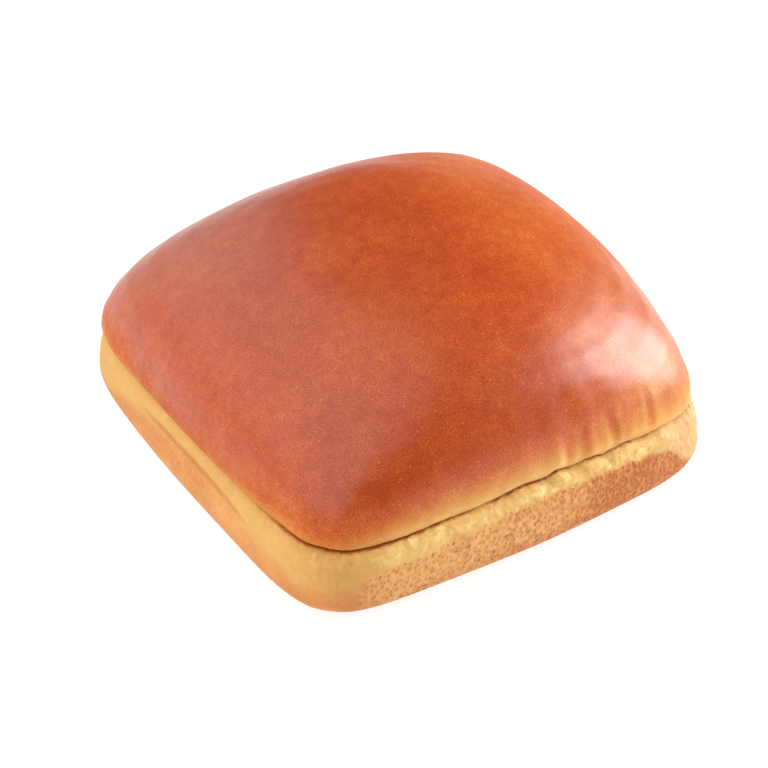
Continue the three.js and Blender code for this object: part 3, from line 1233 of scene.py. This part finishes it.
@dataclass
class Crown(Loaf):
    """The domed top piece: a block worked into a dome, with a flat cut face below."""

    columns: int = 24
    rows: int = 6
    hem: float = 8.0
    margins: tuple[float, ...] = (5.0, 8.0, 10.0)
    span: int = 6
    pleat_height: float = 0.12
    rim_top: float = 16.6
    # How much paler a fold's ridge and browner its furrow are made: partly baking, partly painted light on
    # the ridge and painted shade in the furrow.
    fold_ridge_pale_and_lit: float = 0.19
    fold_furrow_brown_and_shaded: float = 0.14
    sunk: float = 0.15
    # How far the noises move the cut line and the crust, in millimetres.
    cut_noise: tuple[Lump, ...] = (Lump(0.08, 1.6, 3.0), Lump(0.06, 0.8, 4.0))
    wave_noise: tuple[Lump, ...] = (Lump(0.12, 14.0, 1.0), Lump(0.05, 5.0, 2.0))
    grain_noise: tuple[Lump, ...] = (Lump(0.012, 1.1, 5.0),)
    torn_noise: tuple[Lump, ...] = (Lump(0.1, 1.2, 6.0),)
    streak_noise: tuple[Lump, ...] = (Lump(1.0, 1.3, 12.0, (1.0, 1.0, 7.0)),)
    # How far the noises move the gold band's top, in millimetres, and the browning above it.
    band_noise: tuple[Lump, ...] = (Lump(0.35, 3.0, 8.0, (1.0, 1.0, 2.0)), Lump(0.5, 9.0, 9.0))
    cloud_noise: tuple[Lump, ...] = (Lump(0.07, 16.0, 10.0),)
    # The egg wash: its lower edge, and where it lies thin.
    wash_foot: float = 20.5
    wash_noise: tuple[Lump, ...] = (Lump(1.2, 7.0, 15.0),)
    wash_thinned: float = 0.9
    top_height: Step = Step(38.0, 43.5)
    top_across: Step = Step(-14.0, 6.0)
    back_across: Step = Step(8.0, 26.0)
    back_depth: Step = Step(-24.0, -6.0)
    # Where the skirt ends, where the front begins and ends, and where the light side of the dome lies.
    skirt_top: Step = Step(24.0, 29.0)
    front_start: Step = Step(0.0, 15.0)
    front_end: Step = Step(150.0, 185.0)
    right_side: Step = Step(7.0, 26.0)
    left_side: Step = Step(25.0, 50.0)
    low_right_across: Step = Step(-2.0, 42.0)
    low_right_height: Step = Step(23.0, 31.0)
    far_corner: Step = Step(39.0, 47.0)
    # How brown the crust is at the waist and how much browner above it.
    waist_level: float = 0.58
    body_level: float = 0.27
    band_top: Ribbon = Ribbon(
        (
            (-187.0, 19.5), (-140.0, 19.0), (-94.0, 18.6), (-72.0, 17.7), (-58.0, 16.8), (-44.0, 17.0),
            (-32.0, 17.9), (-22.0, 18.4), (-12.0, 18.7), (-6.0, 18.0), (0.0, 17.9), (9.0, 18.8),
            (18.0, 20.3), (27.0, 20.9), (40.0, 21.2), (52.0, 21.2), (67.0, 20.4), (85.0, 20.2),
            (94.0, 20.0), (120.0, 20.5), (150.0, 20.0),
        )
    )
    pleats: tuple[Pleat, ...] = (
        Pleat(48.5, 47.5, 3.0, 0.45),
        Pleat(54.5, 53.1, 1.2, 1.0),
        Pleat(56.0, 54.9, 1.1, -0.7),
        Pleat(58.7, 58.5, 1.1, 0.7),
        Pleat(60.4, 60.2, 1.2, -0.7),
        Pleat(62.7, 62.1, 1.6, 0.45),
        Pleat(67.3, 65.1, 1.2, 1.0),
        Pleat(68.8, 67.4, 1.2, -0.9),
        Pleat(70.0, 70.5, 0.8, 0.6),
        Pleat(74.2, 74.7, 1.4, 0.4),
        Pleat(76.8, 78.5, 0.8, 0.7),
        Pleat(78.9, 80.0, 1.0, -0.6),
        Pleat(82.0, 82.4, 1.4, 0.3),
        Pleat(40.0, 40.3, 1.2, -0.35),
        Pleat(44.8, 44.6, 1.0, -0.3),
        Pleat(-52.4, -52.6, 1.0, 0.5, 17.5, 21.5),
        Pleat(-54.0, -54.2, 1.2, -0.6, 17.5, 21.5),
        Pleat(-48.5, -48.8, 1.2, 0.4, 17.5, 21.0),
        Pleat(-39.4, -39.2, 0.9, 0.45, 17.5, 22.0),
        Pleat(-40.6, -40.6, 0.9, -0.5, 17.5, 22.0),
    )

    def build(self, crust: bpy.types.Material, crumb: bpy.types.Material) -> bpy.types.Object:
        """Models and dresses the crown.

        Args:
            crust: The glazed finish of the dome.
            crumb: The finish of the cut face.

        Returns:
            The finished piece.
        """
        piece = self.block_out(crust, crumb)
        self.settle_on_cad(piece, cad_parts["crown"])
        skin = Skin(piece)
        on_cut = self.cut_share(skin)
        folds = self.pleat_field(skin)
        displace(piece, "cut_line", self.lift(skin), Push.UPWARD)
        relief = self.relief(skin, folds) * (1.0 - on_cut)
        displace(piece, "folds", np.minimum(relief, skin.room("crown")), Push.OUTWARD)
        keep_field(piece, Mark.BAKE, self.bake(skin, folds))
        keep_field(piece, Mark.WASH, self.wash(skin))
        shade_smooth(piece, self.smooth_angle)
        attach(piece, "root")
        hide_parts("crown")
        return piece

    def block_out(self, crust: bpy.types.Material, crumb: bpy.types.Material) -> bpy.types.Object:
        """Starts from a block at the crown's size and cuts it into columns and rows.

        Args:
            crust: The finish of the outside.
            crumb: The finish of the cut face.

        Returns:
            The block, open below.
        """
        low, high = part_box("crown")
        piece = start_block("crown_loaf", (low, high), (crust, crumb))
        bottom = low.z / MM
        pick(piece, Band.FACES, lambda corners: all(corner.z < bottom + NEAR for corner in corners))
        bpy.ops.mesh.delete(type="ONLY_FACE")
        cut_along(piece, (2,), self.rows)
        # The lowest row is halved, so that the rim keeps its form.
        first_row = bottom + (high.z - low.z) / MM / self.rows + NEAR
        upright = runs_along(2)
        pick(piece, Band.EDGES, lambda ends: upright(ends) and max(end.z for end in ends) < first_row)
        bpy.ops.mesh.subdivide(number_cuts=1)
        cut_along(piece, (0, 1), self.columns)
        pick(piece, Band.EDGES, lambda ends: all(end.z < bottom + NEAR for end in ends))
        bpy.ops.transform.translate(value=(0.0, 0.0, -self.hem * MM))
        bpy.ops.transform.edge_crease(value=0.9)
        bpy.ops.object.mode_set(mode="OBJECT")
        return piece

    def close(self, piece: bpy.types.Object) -> None:
        """Closes the open underside with the flat cut face.

        Args:
            piece: The open shell, already drawn onto the solid.
        """
        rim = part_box("crown")[0].z / MM + 1.2
        pick_open(piece, lambda ends: True)
        close_end(piece, self.margins, self.span)
        give_finish(piece, 1, lambda corners: max(c.z for c in corners) < rim and is_level(corners))
        turn_outwards(piece)

    def cut_share(self, skin: Skin) -> Field:
        """Returns 1 on the cut face and 0 on the crust."""
        facing_down = smooth(-skin.normal[:, 2], 0.8, 0.95)
        return facing_down * (skin.height < 17.5)

    def lift(self, skin: Skin) -> Field:
        """Works out how far the cut edge climbs.

        Args:
            skin: The crown's points.

        Returns:
            Millimetres upwards, fading out up the skirt and in across the cut face.
        """
        along = skin.travel
        rise = self.cut.rise.at(along) + 0.5 * self.cut.gape.at(along) + skin.noise_of(self.cut_noise)
        near_rim = smooth(skin.reach, 41.0, 46.5)
        return rise * (1.0 - smooth(skin.height, self.rim_top, 20.5)) * near_rim

    def wash(self, skin: Skin) -> Field:
        """Works out how much egg wash lies on the crust.

        Args:
            skin: The crown's points.

        Returns:
            From 0, where the brush hardly reached, to 1 where the wash is thickest.
        """
        x, y, height = skin.at[:, 0], skin.at[:, 1], skin.height
        edge = self.wash_foot + skin.noise_of(self.wash_noise)
        on_top = self.top_height.of(height) * self.top_across.of(x)
        back_right = self.back_across.of(x) * self.back_depth.of(y)
        thin = np.maximum(on_top, back_right)
        return smooth(height, edge - 2.5, edge + 4.5) * (1.0 - self.wash_thinned * thin)

    def pleat_field(self, skin: Skin) -> Field:
        """Works out the folds in the skirt.

        Args:
            skin: The crown's points.

        Returns:
            From -1 in a furrow to 1 on a ridge.
        """
        along, height = skin.travel, skin.height
        total = np.zeros(len(along))
        for pleat in self.pleats + self.hidden_pleats():
            share = np.clip((height - pleat.low) / (pleat.high - pleat.low), 0.0, 1.0)
            middle = pleat.foot + (pleat.head - pleat.foot) * share
            starts = smooth(height, pleat.low - 2.5, pleat.low)
            ends = smooth(height, pleat.high - 3.0, pleat.high)
            total += pleat.strength * starts * (1.0 - ends) * mound(along, middle, 1.9 * pleat.half)
        return total

    def hidden_pleats(self) -> tuple[Pleat, ...]:
        """Returns softer folds, laid out by chance, for the sides that the photograph hides."""
        dice = random.Random(7)
        found = []
        place = 100.0
        while place < 275.0:
            strength = dice.uniform(0.25, 0.8) * dice.choice((1.0, 1.0, -1.0))
            lean = dice.uniform(-1.2, 1.2)
            half = dice.uniform(0.8, 1.8)
            along = place if place < 187.0 else place - 375.0
            found.append(Pleat(along, along + lean, half, strength, 18.5, dice.uniform(22.5, 26.5)))
            place += dice.uniform(2.2, 7.0)
        return tuple(found)

    def relief(self, skin: Skin, folds: Field) -> Field:
        """Works out how far the crust stands proud of the smooth form.

        Args:
            skin: The crown's points.
            folds: The folds in the skirt.

        Returns:
            Millimetres along the normals.
        """
        even = skin.noise_of(self.wave_noise) - self.sunk + skin.noise_of(self.grain_noise)
        rim = 1.0 - smooth(skin.height, self.rim_top, 18.2)
        torn = skin.noise_of(self.torn_noise) * rim
        streaks = 0.04 * skin.noise_of(self.streak_noise) * (1.0 - self.skirt_top.of(skin.height))
        return self.pleat_height * folds + even + torn + streaks

    def bake(self, skin: Skin, folds: Field) -> Field:
        """Works out how brown the crust is, with painted light and shade on the skirt's folds.

        Args:
            skin: The crown's points.
            folds: The folds in the skirt.

        Returns:
            From 0, pale gold, to 1, deep brown.
        """
        along, height = skin.travel, skin.height
        streaks = skin.noise_of(self.streak_noise)
        top = self.band_top.at(along) + skin.noise_of(self.band_noise) + 0.5 * streaks
        front = self.front_start.of(along) * (1.0 - self.front_end.of(along))
        soft = 1.6 + 2.0 * front
        waist = np.clip((height - top + soft) / (2.0 * soft), 0.0, 1.0)
        body = smooth(height, top, top + 9.0)
        foot = 0.3 - 0.26 * front + 0.1 * mound(along, 96.0, 18.0)
        level = foot + (self.waist_level - foot) * waist + self.body_level * body
        x, y = skin.at[:, 0], skin.at[:, 1]
        near_front = np.exp(-(((x + 28.0) / 14.0) ** 2) - ((height - 27.0) / 6.0) ** 2) * (y < 0.0)
        right, left = self.right_side.of(x), self.left_side.of(-x)
        low_right = self.low_right_across.of(x) * (1.0 - self.low_right_height.of(height))
        low_right = low_right * (1.0 - 0.7 * self.far_corner.of(x))
        near_light = np.exp(-(((x + 20.0) / 20.0) ** 2) - ((y + 20.0) / 16.0) ** 2)
        wide = 0.1 * near_front - 0.1 * near_light - 0.24 * right - 0.4 * low_right - 0.06 * left
        skirt = front * (1.0 - self.skirt_top.of(height))
        # A fold is paler on its ridge and browner in its furrow: partly baking, partly painted light on the
        # ridge and painted shade in the furrow.
        ridge, furrow = np.clip(folds, 0.0, None), np.clip(folds, None, 0.0)
        creased = -self.fold_ridge_pale_and_lit * ridge - self.fold_furrow_brown_and_shaded * furrow
        clouds = skin.noise_of(self.cloud_noise) + 0.07 * streaks * skirt
        return level + wide * body + creased + clouds


@dataclass
class Heel(Loaf):
    """The flat bottom piece: a pored tan crust under a torn yellow roll, with a cut face on top."""

    columns: int = 32
    rows: int = 6
    hem: float = 6.0
    foot_margins: tuple[float, ...] = (4.0, 5.0, 10.0)
    cut_margins: tuple[float, ...] = (4.0, 8.0, 10.0)
    crumb_reach: float = 46.2
    foot_share: float = 0.905
    span: int = 8
    # How far the noises move the cut line, the roll and the base crust, in millimetres.
    cut_noise: tuple[Lump, ...] = (Lump(0.1, 1.6, 13.0), Lump(0.08, 0.8, 14.0))
    sponge_noise: tuple[Lump, ...] = (Lump(0.07, 0.75, 31.0, (1.0, 1.0, 1.5)), Lump(0.06, 1.7, 32.0))
    roll_noise: tuple[Lump, ...] = (Lump(0.17, 2.2, 33.0), Lump(0.08, 4.5, 34.0), Lump(0.19, 1.1, 35.0))
    crack_noise: tuple[Lump, ...] = (Lump(0.12, 0.9, 36.0, (1.0, 1.0, 4.0)),)
    # How far the noises move the roll's foot and the edge of the painted shade along the slit, in
    # millimetres.
    edge_noise: tuple[Lump, ...] = (Lump(0.5, 2.4, 21.0), Lump(0.35, 0.9, 22.0), Lump(0.5, 7.0, 23.0))
    slit_shade_noise: tuple[Lump, ...] = (Lump(0.1, 1.4, 51.0), Lump(0.08, 0.7, 52.0))
    # How far the noises swing the toasting, the paleness and the flakes.
    toast_noise: tuple[Lump, ...] = (Lump(0.4, 6.0, 41.0),)
    pale_noise: tuple[Lump, ...] = (Lump(0.16, 5.0, 42.0),)
    flake_noise: tuple[Lump, ...] = (Lump(0.3, 4.0, 43.0),)
    # How deep a pore and the groove sink, and the whole crust below the solid, in millimetres.
    pore_depth: float = 0.28
    groove_depth: float = 0.2
    sunk: float = 0.05
    roll_foot: Ribbon = Ribbon(
        (
            (-187.0, 12.5), (-150.0, 12.0), (-115.0, 9.0), (-93.0, 5.0), (-80.0, 6.5), (-68.0, 10.0),
            (-57.0, 12.2), (-42.0, 12.2), (-27.0, 10.8), (-15.0, 9.5), (-7.0, 8.4), (0.0, 8.0),
            (5.0, 9.0), (7.5, 11.0), (15.0, 12.0), (24.0, 12.6), (31.0, 13.8), (47.0, 14.2),
            (60.0, 14.2), (68.0, 13.6), (74.0, 12.6), (80.0, 11.8), (83.0, 10.0), (85.0, 7.0),
            (90.0, 4.0), (100.0, 4.5), (112.0, 9.0), (125.0, 12.5), (150.0, 13.2),
        )
    )
    # How strong the painted shade along the slit is, on the way round.
    slit_shade_share: Ribbon = Ribbon(
        (
            (-187.0, 0.3), (-100.0, 0.2), (-93.0, 0.0), (-24.0, 0.05), (-17.0, 0.35), (-12.0, 0.9),
            (-5.0, 1.0), (24.0, 1.0), (30.0, 0.8), (32.5, 0.25), (35.0, 0.25), (38.0, 0.8), (50.0, 1.0),
            (74.0, 0.9), (79.0, 0.3), (85.0, 0.0), (94.0, 0.0), (110.0, 0.2), (150.0, 0.4),
        )
    )
    pore_share: Ribbon = Ribbon(
        (
            (-187.0, 0.8), (-110.0, 0.5), (-90.0, 0.15), (-47.0, 0.35), (-15.0, 0.25), (-5.0, 0.1),
            (4.0, 0.15), (10.0, 1.0), (80.0, 1.0), (88.0, 0.3), (100.0, 0.4), (115.0, 0.9),
        )
    )

    def build(
        self, crust: bpy.types.Material, crumb: bpy.types.Material, crown: bpy.types.Object
    ) -> bpy.types.Object:
        """Models and dresses the heel.

        Args:
            crust: The finish of the sides and the underside.
            crumb: The finish of the cut face.
            crown: The finished crown, whose rim shades the slit.

        Returns:
            The finished piece.
        """
        piece = self.block_out(crust, crumb)
        self.settle_on_cad(piece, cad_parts["heel"])
        skin = Skin(piece)
        on_cut = self.cut_share(skin)
        tan = self.tan(skin)
        pit = self.pits(skin, tan)
        displace(piece, "cut_line", self.lift(skin), Push.UPWARD)
        relief = self.relief(skin, tan, pit) * (1.0 - on_cut)
        displace(piece, "pores", np.minimum(relief, skin.room("heel")), Push.OUTWARD)
        keep_field(piece, Mark.TAN, tan)
        keep_field(piece, Mark.PAINTED_SHADE, self.painted_shade(skin, tan, pit))
        keep_field(piece, Mark.TOAST, self.toast(skin))
        keep_field(piece, Mark.PALE, self.pale(skin))
        keep_field(piece, Mark.SLIT_SHADE, self.slit(Skin(piece), crown))
        keep_field(piece, Mark.SPONGE, self.pore_share.at(skin.travel))
        keep_field(piece, Mark.CRUMBLY, self.crumbly(skin))
        shade_smooth(piece, self.smooth_angle)
        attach(piece, "root")
        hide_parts("heel")
        return piece

    def block_out(self, crust: bpy.types.Material, crumb: bpy.types.Material) -> bpy.types.Object:
        """Starts from a block at the heel's size and cuts it into columns and rows.

        Args:
            crust: The finish of the outside.
            crumb: The finish of the cut face.

        Returns:
            The block, open above and below.
        """
        low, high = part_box("heel")
        piece = start_block("heel_loaf", (low, high), (crust, crumb))
        bottom, top = low.z / MM, high.z / MM
        pick(piece, Band.FACES, is_level)
        bpy.ops.mesh.delete(type="ONLY_FACE")
        cut_along(piece, (2,), self.rows)
        cut_along(piece, (0, 1), self.columns)
        pick(piece, Band.EDGES, lambda ends: all(end.z > top - NEAR for end in ends))
        bpy.ops.transform.translate(value=(0.0, 0.0, self.hem * MM))
        pick(piece, Band.EDGES, lambda ends: all(end.z < bottom + NEAR for end in ends))
        bpy.ops.transform.resize(value=(self.foot_share, self.foot_share, 1.0))
        bpy.ops.transform.translate(value=(0.0, 0.0, -self.hem * MM))
        bpy.ops.object.mode_set(mode="OBJECT")
        return piece

    def close(self, piece: bpy.types.Object) -> None:
        """Closes the underside and the cut face, and marks the crumb that the knife laid open.

        Args:
            piece: The open shell, already drawn onto the solid.
        """
        low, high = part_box("heel")
        middle, rim = (low.z + high.z) / 2.0 / MM, high.z / MM - 1.3
        pick_open(piece, lambda ends: ends[0].z < middle)
        close_end(piece, self.foot_margins, self.span)
        pick_open(piece, lambda ends: ends[0].z > middle)
        close_end(piece, self.cut_margins, self.span)
        give_finish(piece, 1, lambda corners: all(c.z > rim and self.is_inner(c) for c in corners))
        turn_outwards(piece)

    def is_inner(self, corner: Vector) -> bool:
        """Returns whether a corner of the cut face lies inside its rolled rim."""
        return Outline().reach_of(corner.x, corner.y) < self.crumb_reach

    def cut_share(self, skin: Skin) -> Field:
        """Returns 1 on the cut face and 0 on the crust."""
        return (1.0 - smooth(skin.reach, 44.0, 46.2)) * (skin.height > 15.0)

    def lift(self, skin: Skin) -> Field:
        """Works out how far the cut edge climbs.

        Args:
            skin: The heel's points.

        Returns:
            Millimetres upwards, fading out down the side and in across the cut face.
        """
        along = skin.travel
        rise = self.cut.rise.at(along) - 0.5 * self.cut.gape.at(along) + skin.noise_of(self.cut_noise)
        return rise * smooth(skin.height, 13.5, 15.9) * smooth(skin.reach, 41.0, 46.0)

    def tan(self, skin: Skin) -> Field:
        """Works out where the tan base crust shows below the yellow roll.

        Args:
            skin: The heel's points.

        Returns:
            From 0 on the roll to 1 on the base crust.
        """
        edge = self.roll_foot.at(skin.travel) + skin.noise_of(self.edge_noise)
        front = smooth(skin.travel, 5.0, 12.0) * (1.0 - smooth(skin.travel, 78.0, 90.0))
        soft = 1.8 - 1.1 * front
        return np.maximum(1.0 - smooth(skin.height, edge - soft, edge + soft), 0.5 * self.spot(skin))

    def spot(self, skin: Skin) -> Field:
        """Returns 1 on the small toasted spot on the near corner and 0 elsewhere."""
        return mound(skin.travel, 4.2, 1.2) * mound(skin.height, 14.4, 1.0)

    def pits(self, skin: Skin, tan: Field) -> Field:
        """Works out the pores of the base crust.

        Args:
            skin: The heel's points.
            tan: Where the base crust shows.

        Returns:
            From 0 on the surface to 1 at the bottom of a pore.
        """
        small = skin.pores(1.5, 0.5, 1.0, 1.3)
        large = skin.pores(3.0, 0.7, 2.0, 1.3)
        return np.maximum(0.6 * small, large) * tan * self.pore_share.at(skin.travel)

    def painted_shade(self, skin: Skin, tan: Field, pit: Field) -> Field:
        """Works out the painted shade: in the pores and along the groove, where shade falls, and on the
        roll at the near corner.

        Args:
            skin: The heel's points.
            tan: Where the base crust shows.
            pit: The pores.

        Returns:
            From 0 to 1.
        """
        # Painted shade on the roll at the near corner, which gets less light.
        corner = 0.32 * mound(skin.travel, 1.0, 14.0) * (1.0 - tan)
        return np.maximum(np.maximum(pit, 0.95 * self.groove(skin)), corner)

    def relief(self, skin: Skin, tan: Field, pit: Field) -> Field:
        """Works out how far the crust stands proud of the smooth form.

        Args:
            skin: The heel's points.
            tan: Where the base crust shows.
            pit: The pores.

        Returns:
            Millimetres along the normals.
        """
        sponge, crumb = skin.noise_of(self.sponge_noise), skin.noise_of(self.roll_noise)
        front = smooth(skin.travel, 2.0, 14.0) * (1.0 - smooth(skin.travel, 105.0, 130.0))
        roll = (1.0 - tan) * (0.25 + 0.75 * front)
        corner = mound(skin.travel, 0.0, 16.0) * (1.0 - tan)
        cracks = skin.noise_of(self.crack_noise) * corner
        share = tan * self.pore_share.at(skin.travel)
        groove = self.groove(skin)
        flat = smooth(skin.height, 0.0, 0.6) * (0.3 + 0.7 * smooth(skin.height, 4.4, 6.4))
        sunk = self.pore_depth * pit + self.groove_depth * groove + self.sunk
        return flat * (share * sponge + roll * crumb + cracks - sunk)

    def crumbly(self, skin: Skin) -> Field:
        """Works out where the roll is torn into flakes: most along the front, just under the cut.

        Args:
            skin: The heel's points.

        Returns:
            From 0 to 1.
        """
        along = skin.travel
        front = smooth(along, 3.0, 20.0) * (1.0 - smooth(along, 195.0, 230.0))
        side = 0.15 + 0.12 * mound(along, 0.0, 16.0) + 0.75 * front
        return side * (0.45 + 0.55 * smooth(skin.height, 12.0, 15.5) + skin.noise_of(self.flake_noise))

    def slit(self, skin: Skin, crown: bpy.types.Object) -> Field:
        """Works out the painted shade along the slit: a dark brown line on the heel, where the crown's rim
        hangs close over it.

        Args:
            skin: The heel's points.
            crown: The crown, whose rim hangs over the slit.

        Returns:
            From 0 to 1.
        """
        near = skin.gap_to(crown, (skin.height > 14.0) & (skin.reach > 44.0))
        edge = 0.5 + 0.25 * mound(skin.travel, 2.0, 26.0) + skin.noise_of(self.slit_shade_noise)
        depth = smooth(skin.reach, 44.8, 46.2)
        return self.slit_shade_share.at(skin.travel) * (1.0 - smooth(near, edge - 0.12, edge + 0.15)) * depth

    def groove(self, skin: Skin) -> Field:
        """Works out the crease where the left side folded as it rose.

        Args:
            skin: The heel's points.

        Returns:
            From 0 outside to 1 along the bottom of the crease.
        """
        along = skin.travel
        middle = 12.4 - 0.0012 * (along + 50.0) ** 2
        ends = smooth(along, -68.0, -58.0) * (1.0 - smooth(along, -32.0, -20.0))
        return ends * mound(skin.height, middle, 0.9)

    def toast(self, skin: Skin) -> Field:
        """Works out where the base crust is browner.

        Args:
            skin: The heel's points.

        Returns:
            From 0 to 1.
        """
        along, height = skin.travel, skin.height
        right_patch = smooth(along, 48.0, 70.0) * (1.0 - smooth(along, 86.0, 94.0))
        left = smooth(along, -100.0, -85.0) * (1.0 - smooth(along, -22.0, 2.0))
        foot = (1.0 - smooth(height, 4.6, 7.0)) * (1.0 - left)
        near_end = smooth(along, 5.0, 12.0) * (1.0 - smooth(along, 28.0, 48.0))
        clouds = 0.3 - 0.3 * near_end + skin.noise_of(self.toast_noise)
        sides = 0.75 * right_patch + 0.12 * left + 0.35 * foot
        # Along the groove the crust is browner: painted shade in the crease.
        return clouds + sides + 0.7 * self.groove(skin) + self.spot(skin)

    def pale(self, skin: Skin) -> Field:
        """Works out where the roll is pale cream: at the right corner, and in patches.

        Args:
            skin: The heel's points.

        Returns:
            From 0 to 1.
        """
        along = skin.travel
        side = 0.12 + 0.48 * smooth(along, 5.0, 16.0) * (1.0 - smooth(along, 200.0, 230.0))
        return side + skin.noise_of(self.pale_noise) + 0.6 * mound(along, 94.0, 22.0)


@dataclass(frozen=True)
class CrumbLine:
    """A stretch of the rim that crumbs cling to: where the rays toward it start and which way they go."""

    start: tuple[float, float]
    end: tuple[float, float]
    way: tuple[float, float]
    count: int


@dataclass
class Crumbs:
    """Crumbs that the knife tore loose, clinging to the heel's roll just under the cut."""

    smallest: float = 0.14
    largest: float = 0.3
    low: float = 13.9
    high: float = 16.0
    sunk: float = 0.27
    seed: int = 11
    smooth_angle: float = 45.0
    torn_noise: tuple[Lump, ...] = (Lump(0.1, 0.3, 61.0), Lump(0.06, 0.14, 62.0))
    lines: tuple[CrumbLine, ...] = (
        CrumbLine((-34.0, -60.0), (3.0, -60.0), (0.0, 1.0), 6),
        CrumbLine((3.0, -60.0), (40.0, -60.0), (0.0, 1.0), 12),
        CrumbLine((60.0, -40.0), (60.0, 40.0), (-1.0, 0.0), 18),
        CrumbLine((-38.0, 60.0), (38.0, 60.0), (0.0, -1.0), 16),
        CrumbLine((-60.0, -36.0), (-60.0, 36.0), (1.0, 0.0), 5),
    )

    def build(self, crumb: bpy.types.Material, heel: bpy.types.Object) -> bpy.types.Object:
        """Models and dresses the crumbs, all in one mesh.

        Args:
            crumb: The finish of torn crumb.
            heel: The finished heel that they cling to.

        Returns:
            The finished piece.
        """
        dice = random.Random(self.seed)
        deselect_all()
        piece: bpy.types.Object | None = None
        for place in self.spots(heel, dice):
            radius = dice.uniform(self.smallest, self.largest) * MM
            if piece is not None:
                bpy.ops.mesh.select_all(action="DESELECT")
            bpy.ops.mesh.primitive_ico_sphere_add(subdivisions=2, radius=radius, location=place)
            if piece is None:
                piece = bpy.context.object
                piece.name = "loose_crumbs"
                bpy.ops.object.transform_apply(location=True, rotation=True, scale=True)
                bpy.ops.object.mode_set(mode="EDIT")
                bpy.ops.mesh.select_all(action="SELECT")
            sizes = (dice.uniform(0.8, 1.4), dice.uniform(0.7, 1.1), dice.uniform(0.5, 0.9))
            bpy.ops.transform.resize(value=sizes, center_override=place)
            for axis, least, most in (("Z", 0.0, math.pi), ("X", -0.6, 0.6)):
                angle = dice.uniform(least, most)
                bpy.ops.transform.rotate(value=angle, orient_axis=axis, center_override=place)
        bpy.ops.object.mode_set(mode="OBJECT")
        piece.data.materials.append(crumb)
        displace(piece, "torn", Skin(piece).noise_of(self.torn_noise), Push.OUTWARD)
        shade_smooth(piece, self.smooth_angle)
        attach(piece, "root")
        return piece

    def spots(self, heel: bpy.types.Object, dice: random.Random) -> list[Vector]:
        """Finds where the crumbs cling.

        Args:
            heel: The finished heel.
            dice: Where the chances come from.

        Returns:
            Places in metres, each a little inside the heel's surface.
        """
        tree = BVHTree.FromObject(heel, bpy.context.evaluated_depsgraph_get())
        found = []
        for line in self.lines:
            start, end, way = Vector(line.start), Vector(line.end), Vector((*line.way, 0.0))
            for _ in range(line.count):
                across = start.lerp(end, dice.random())
                height = dice.uniform(self.low, self.high)
                hit, facing, _, _ = tree.ray_cast(Vector((across.x, across.y, height)) * MM, way)
                if hit is not None and self.is_within(hit / MM):
                    found.append(hit + facing * (self.smallest - self.sunk) * MM)
        return found

    def is_within(self, place: Vector) -> bool:
        """Returns whether a crumb at this place, in millimetres, stays inside the solids' box."""
        low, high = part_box("heel")
        room = 1.9 * self.largest
        return all(low[axis] / MM + room < place[axis] < high[axis] / MM - room for axis in (0, 1))


# ---------------------------------------------------------------------------------------------------------
# Putting it together
# ---------------------------------------------------------------------------------------------------------


@dataclass
class BriocheBun:
    """The whole bun: two pieces of bread around one cut, and the crumbs that cling to it."""

    cut: Cut = field(default_factory=Cut)

    def build(self) -> list[bpy.types.Object]:
        """Builds the pieces in order and reports each.

        Returns:
            The finished pieces.
        """
        crumb = CutCrumb().make()
        crust = EggWashedCrust().make()
        base = BaseCrust().make()
        crown = Crown(self.cut).build(crust, crumb)
        heel = Heel(self.cut).build(base, crumb, crown)
        pieces = [crown, heel, Crumbs().build(crumb, heel)]
        for piece in pieces:
            LOG.info("%s: %d faces", piece.name, len(piece.data.polygons))
        return pieces


def main() -> None:
    """Builds the studio and the bun."""
    logging.basicConfig(level=logging.INFO, format="%(name)s: %(message)s")
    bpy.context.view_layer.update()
    Studio().build()
    BriocheBun().build()


if __name__ == "__main__":
    main()
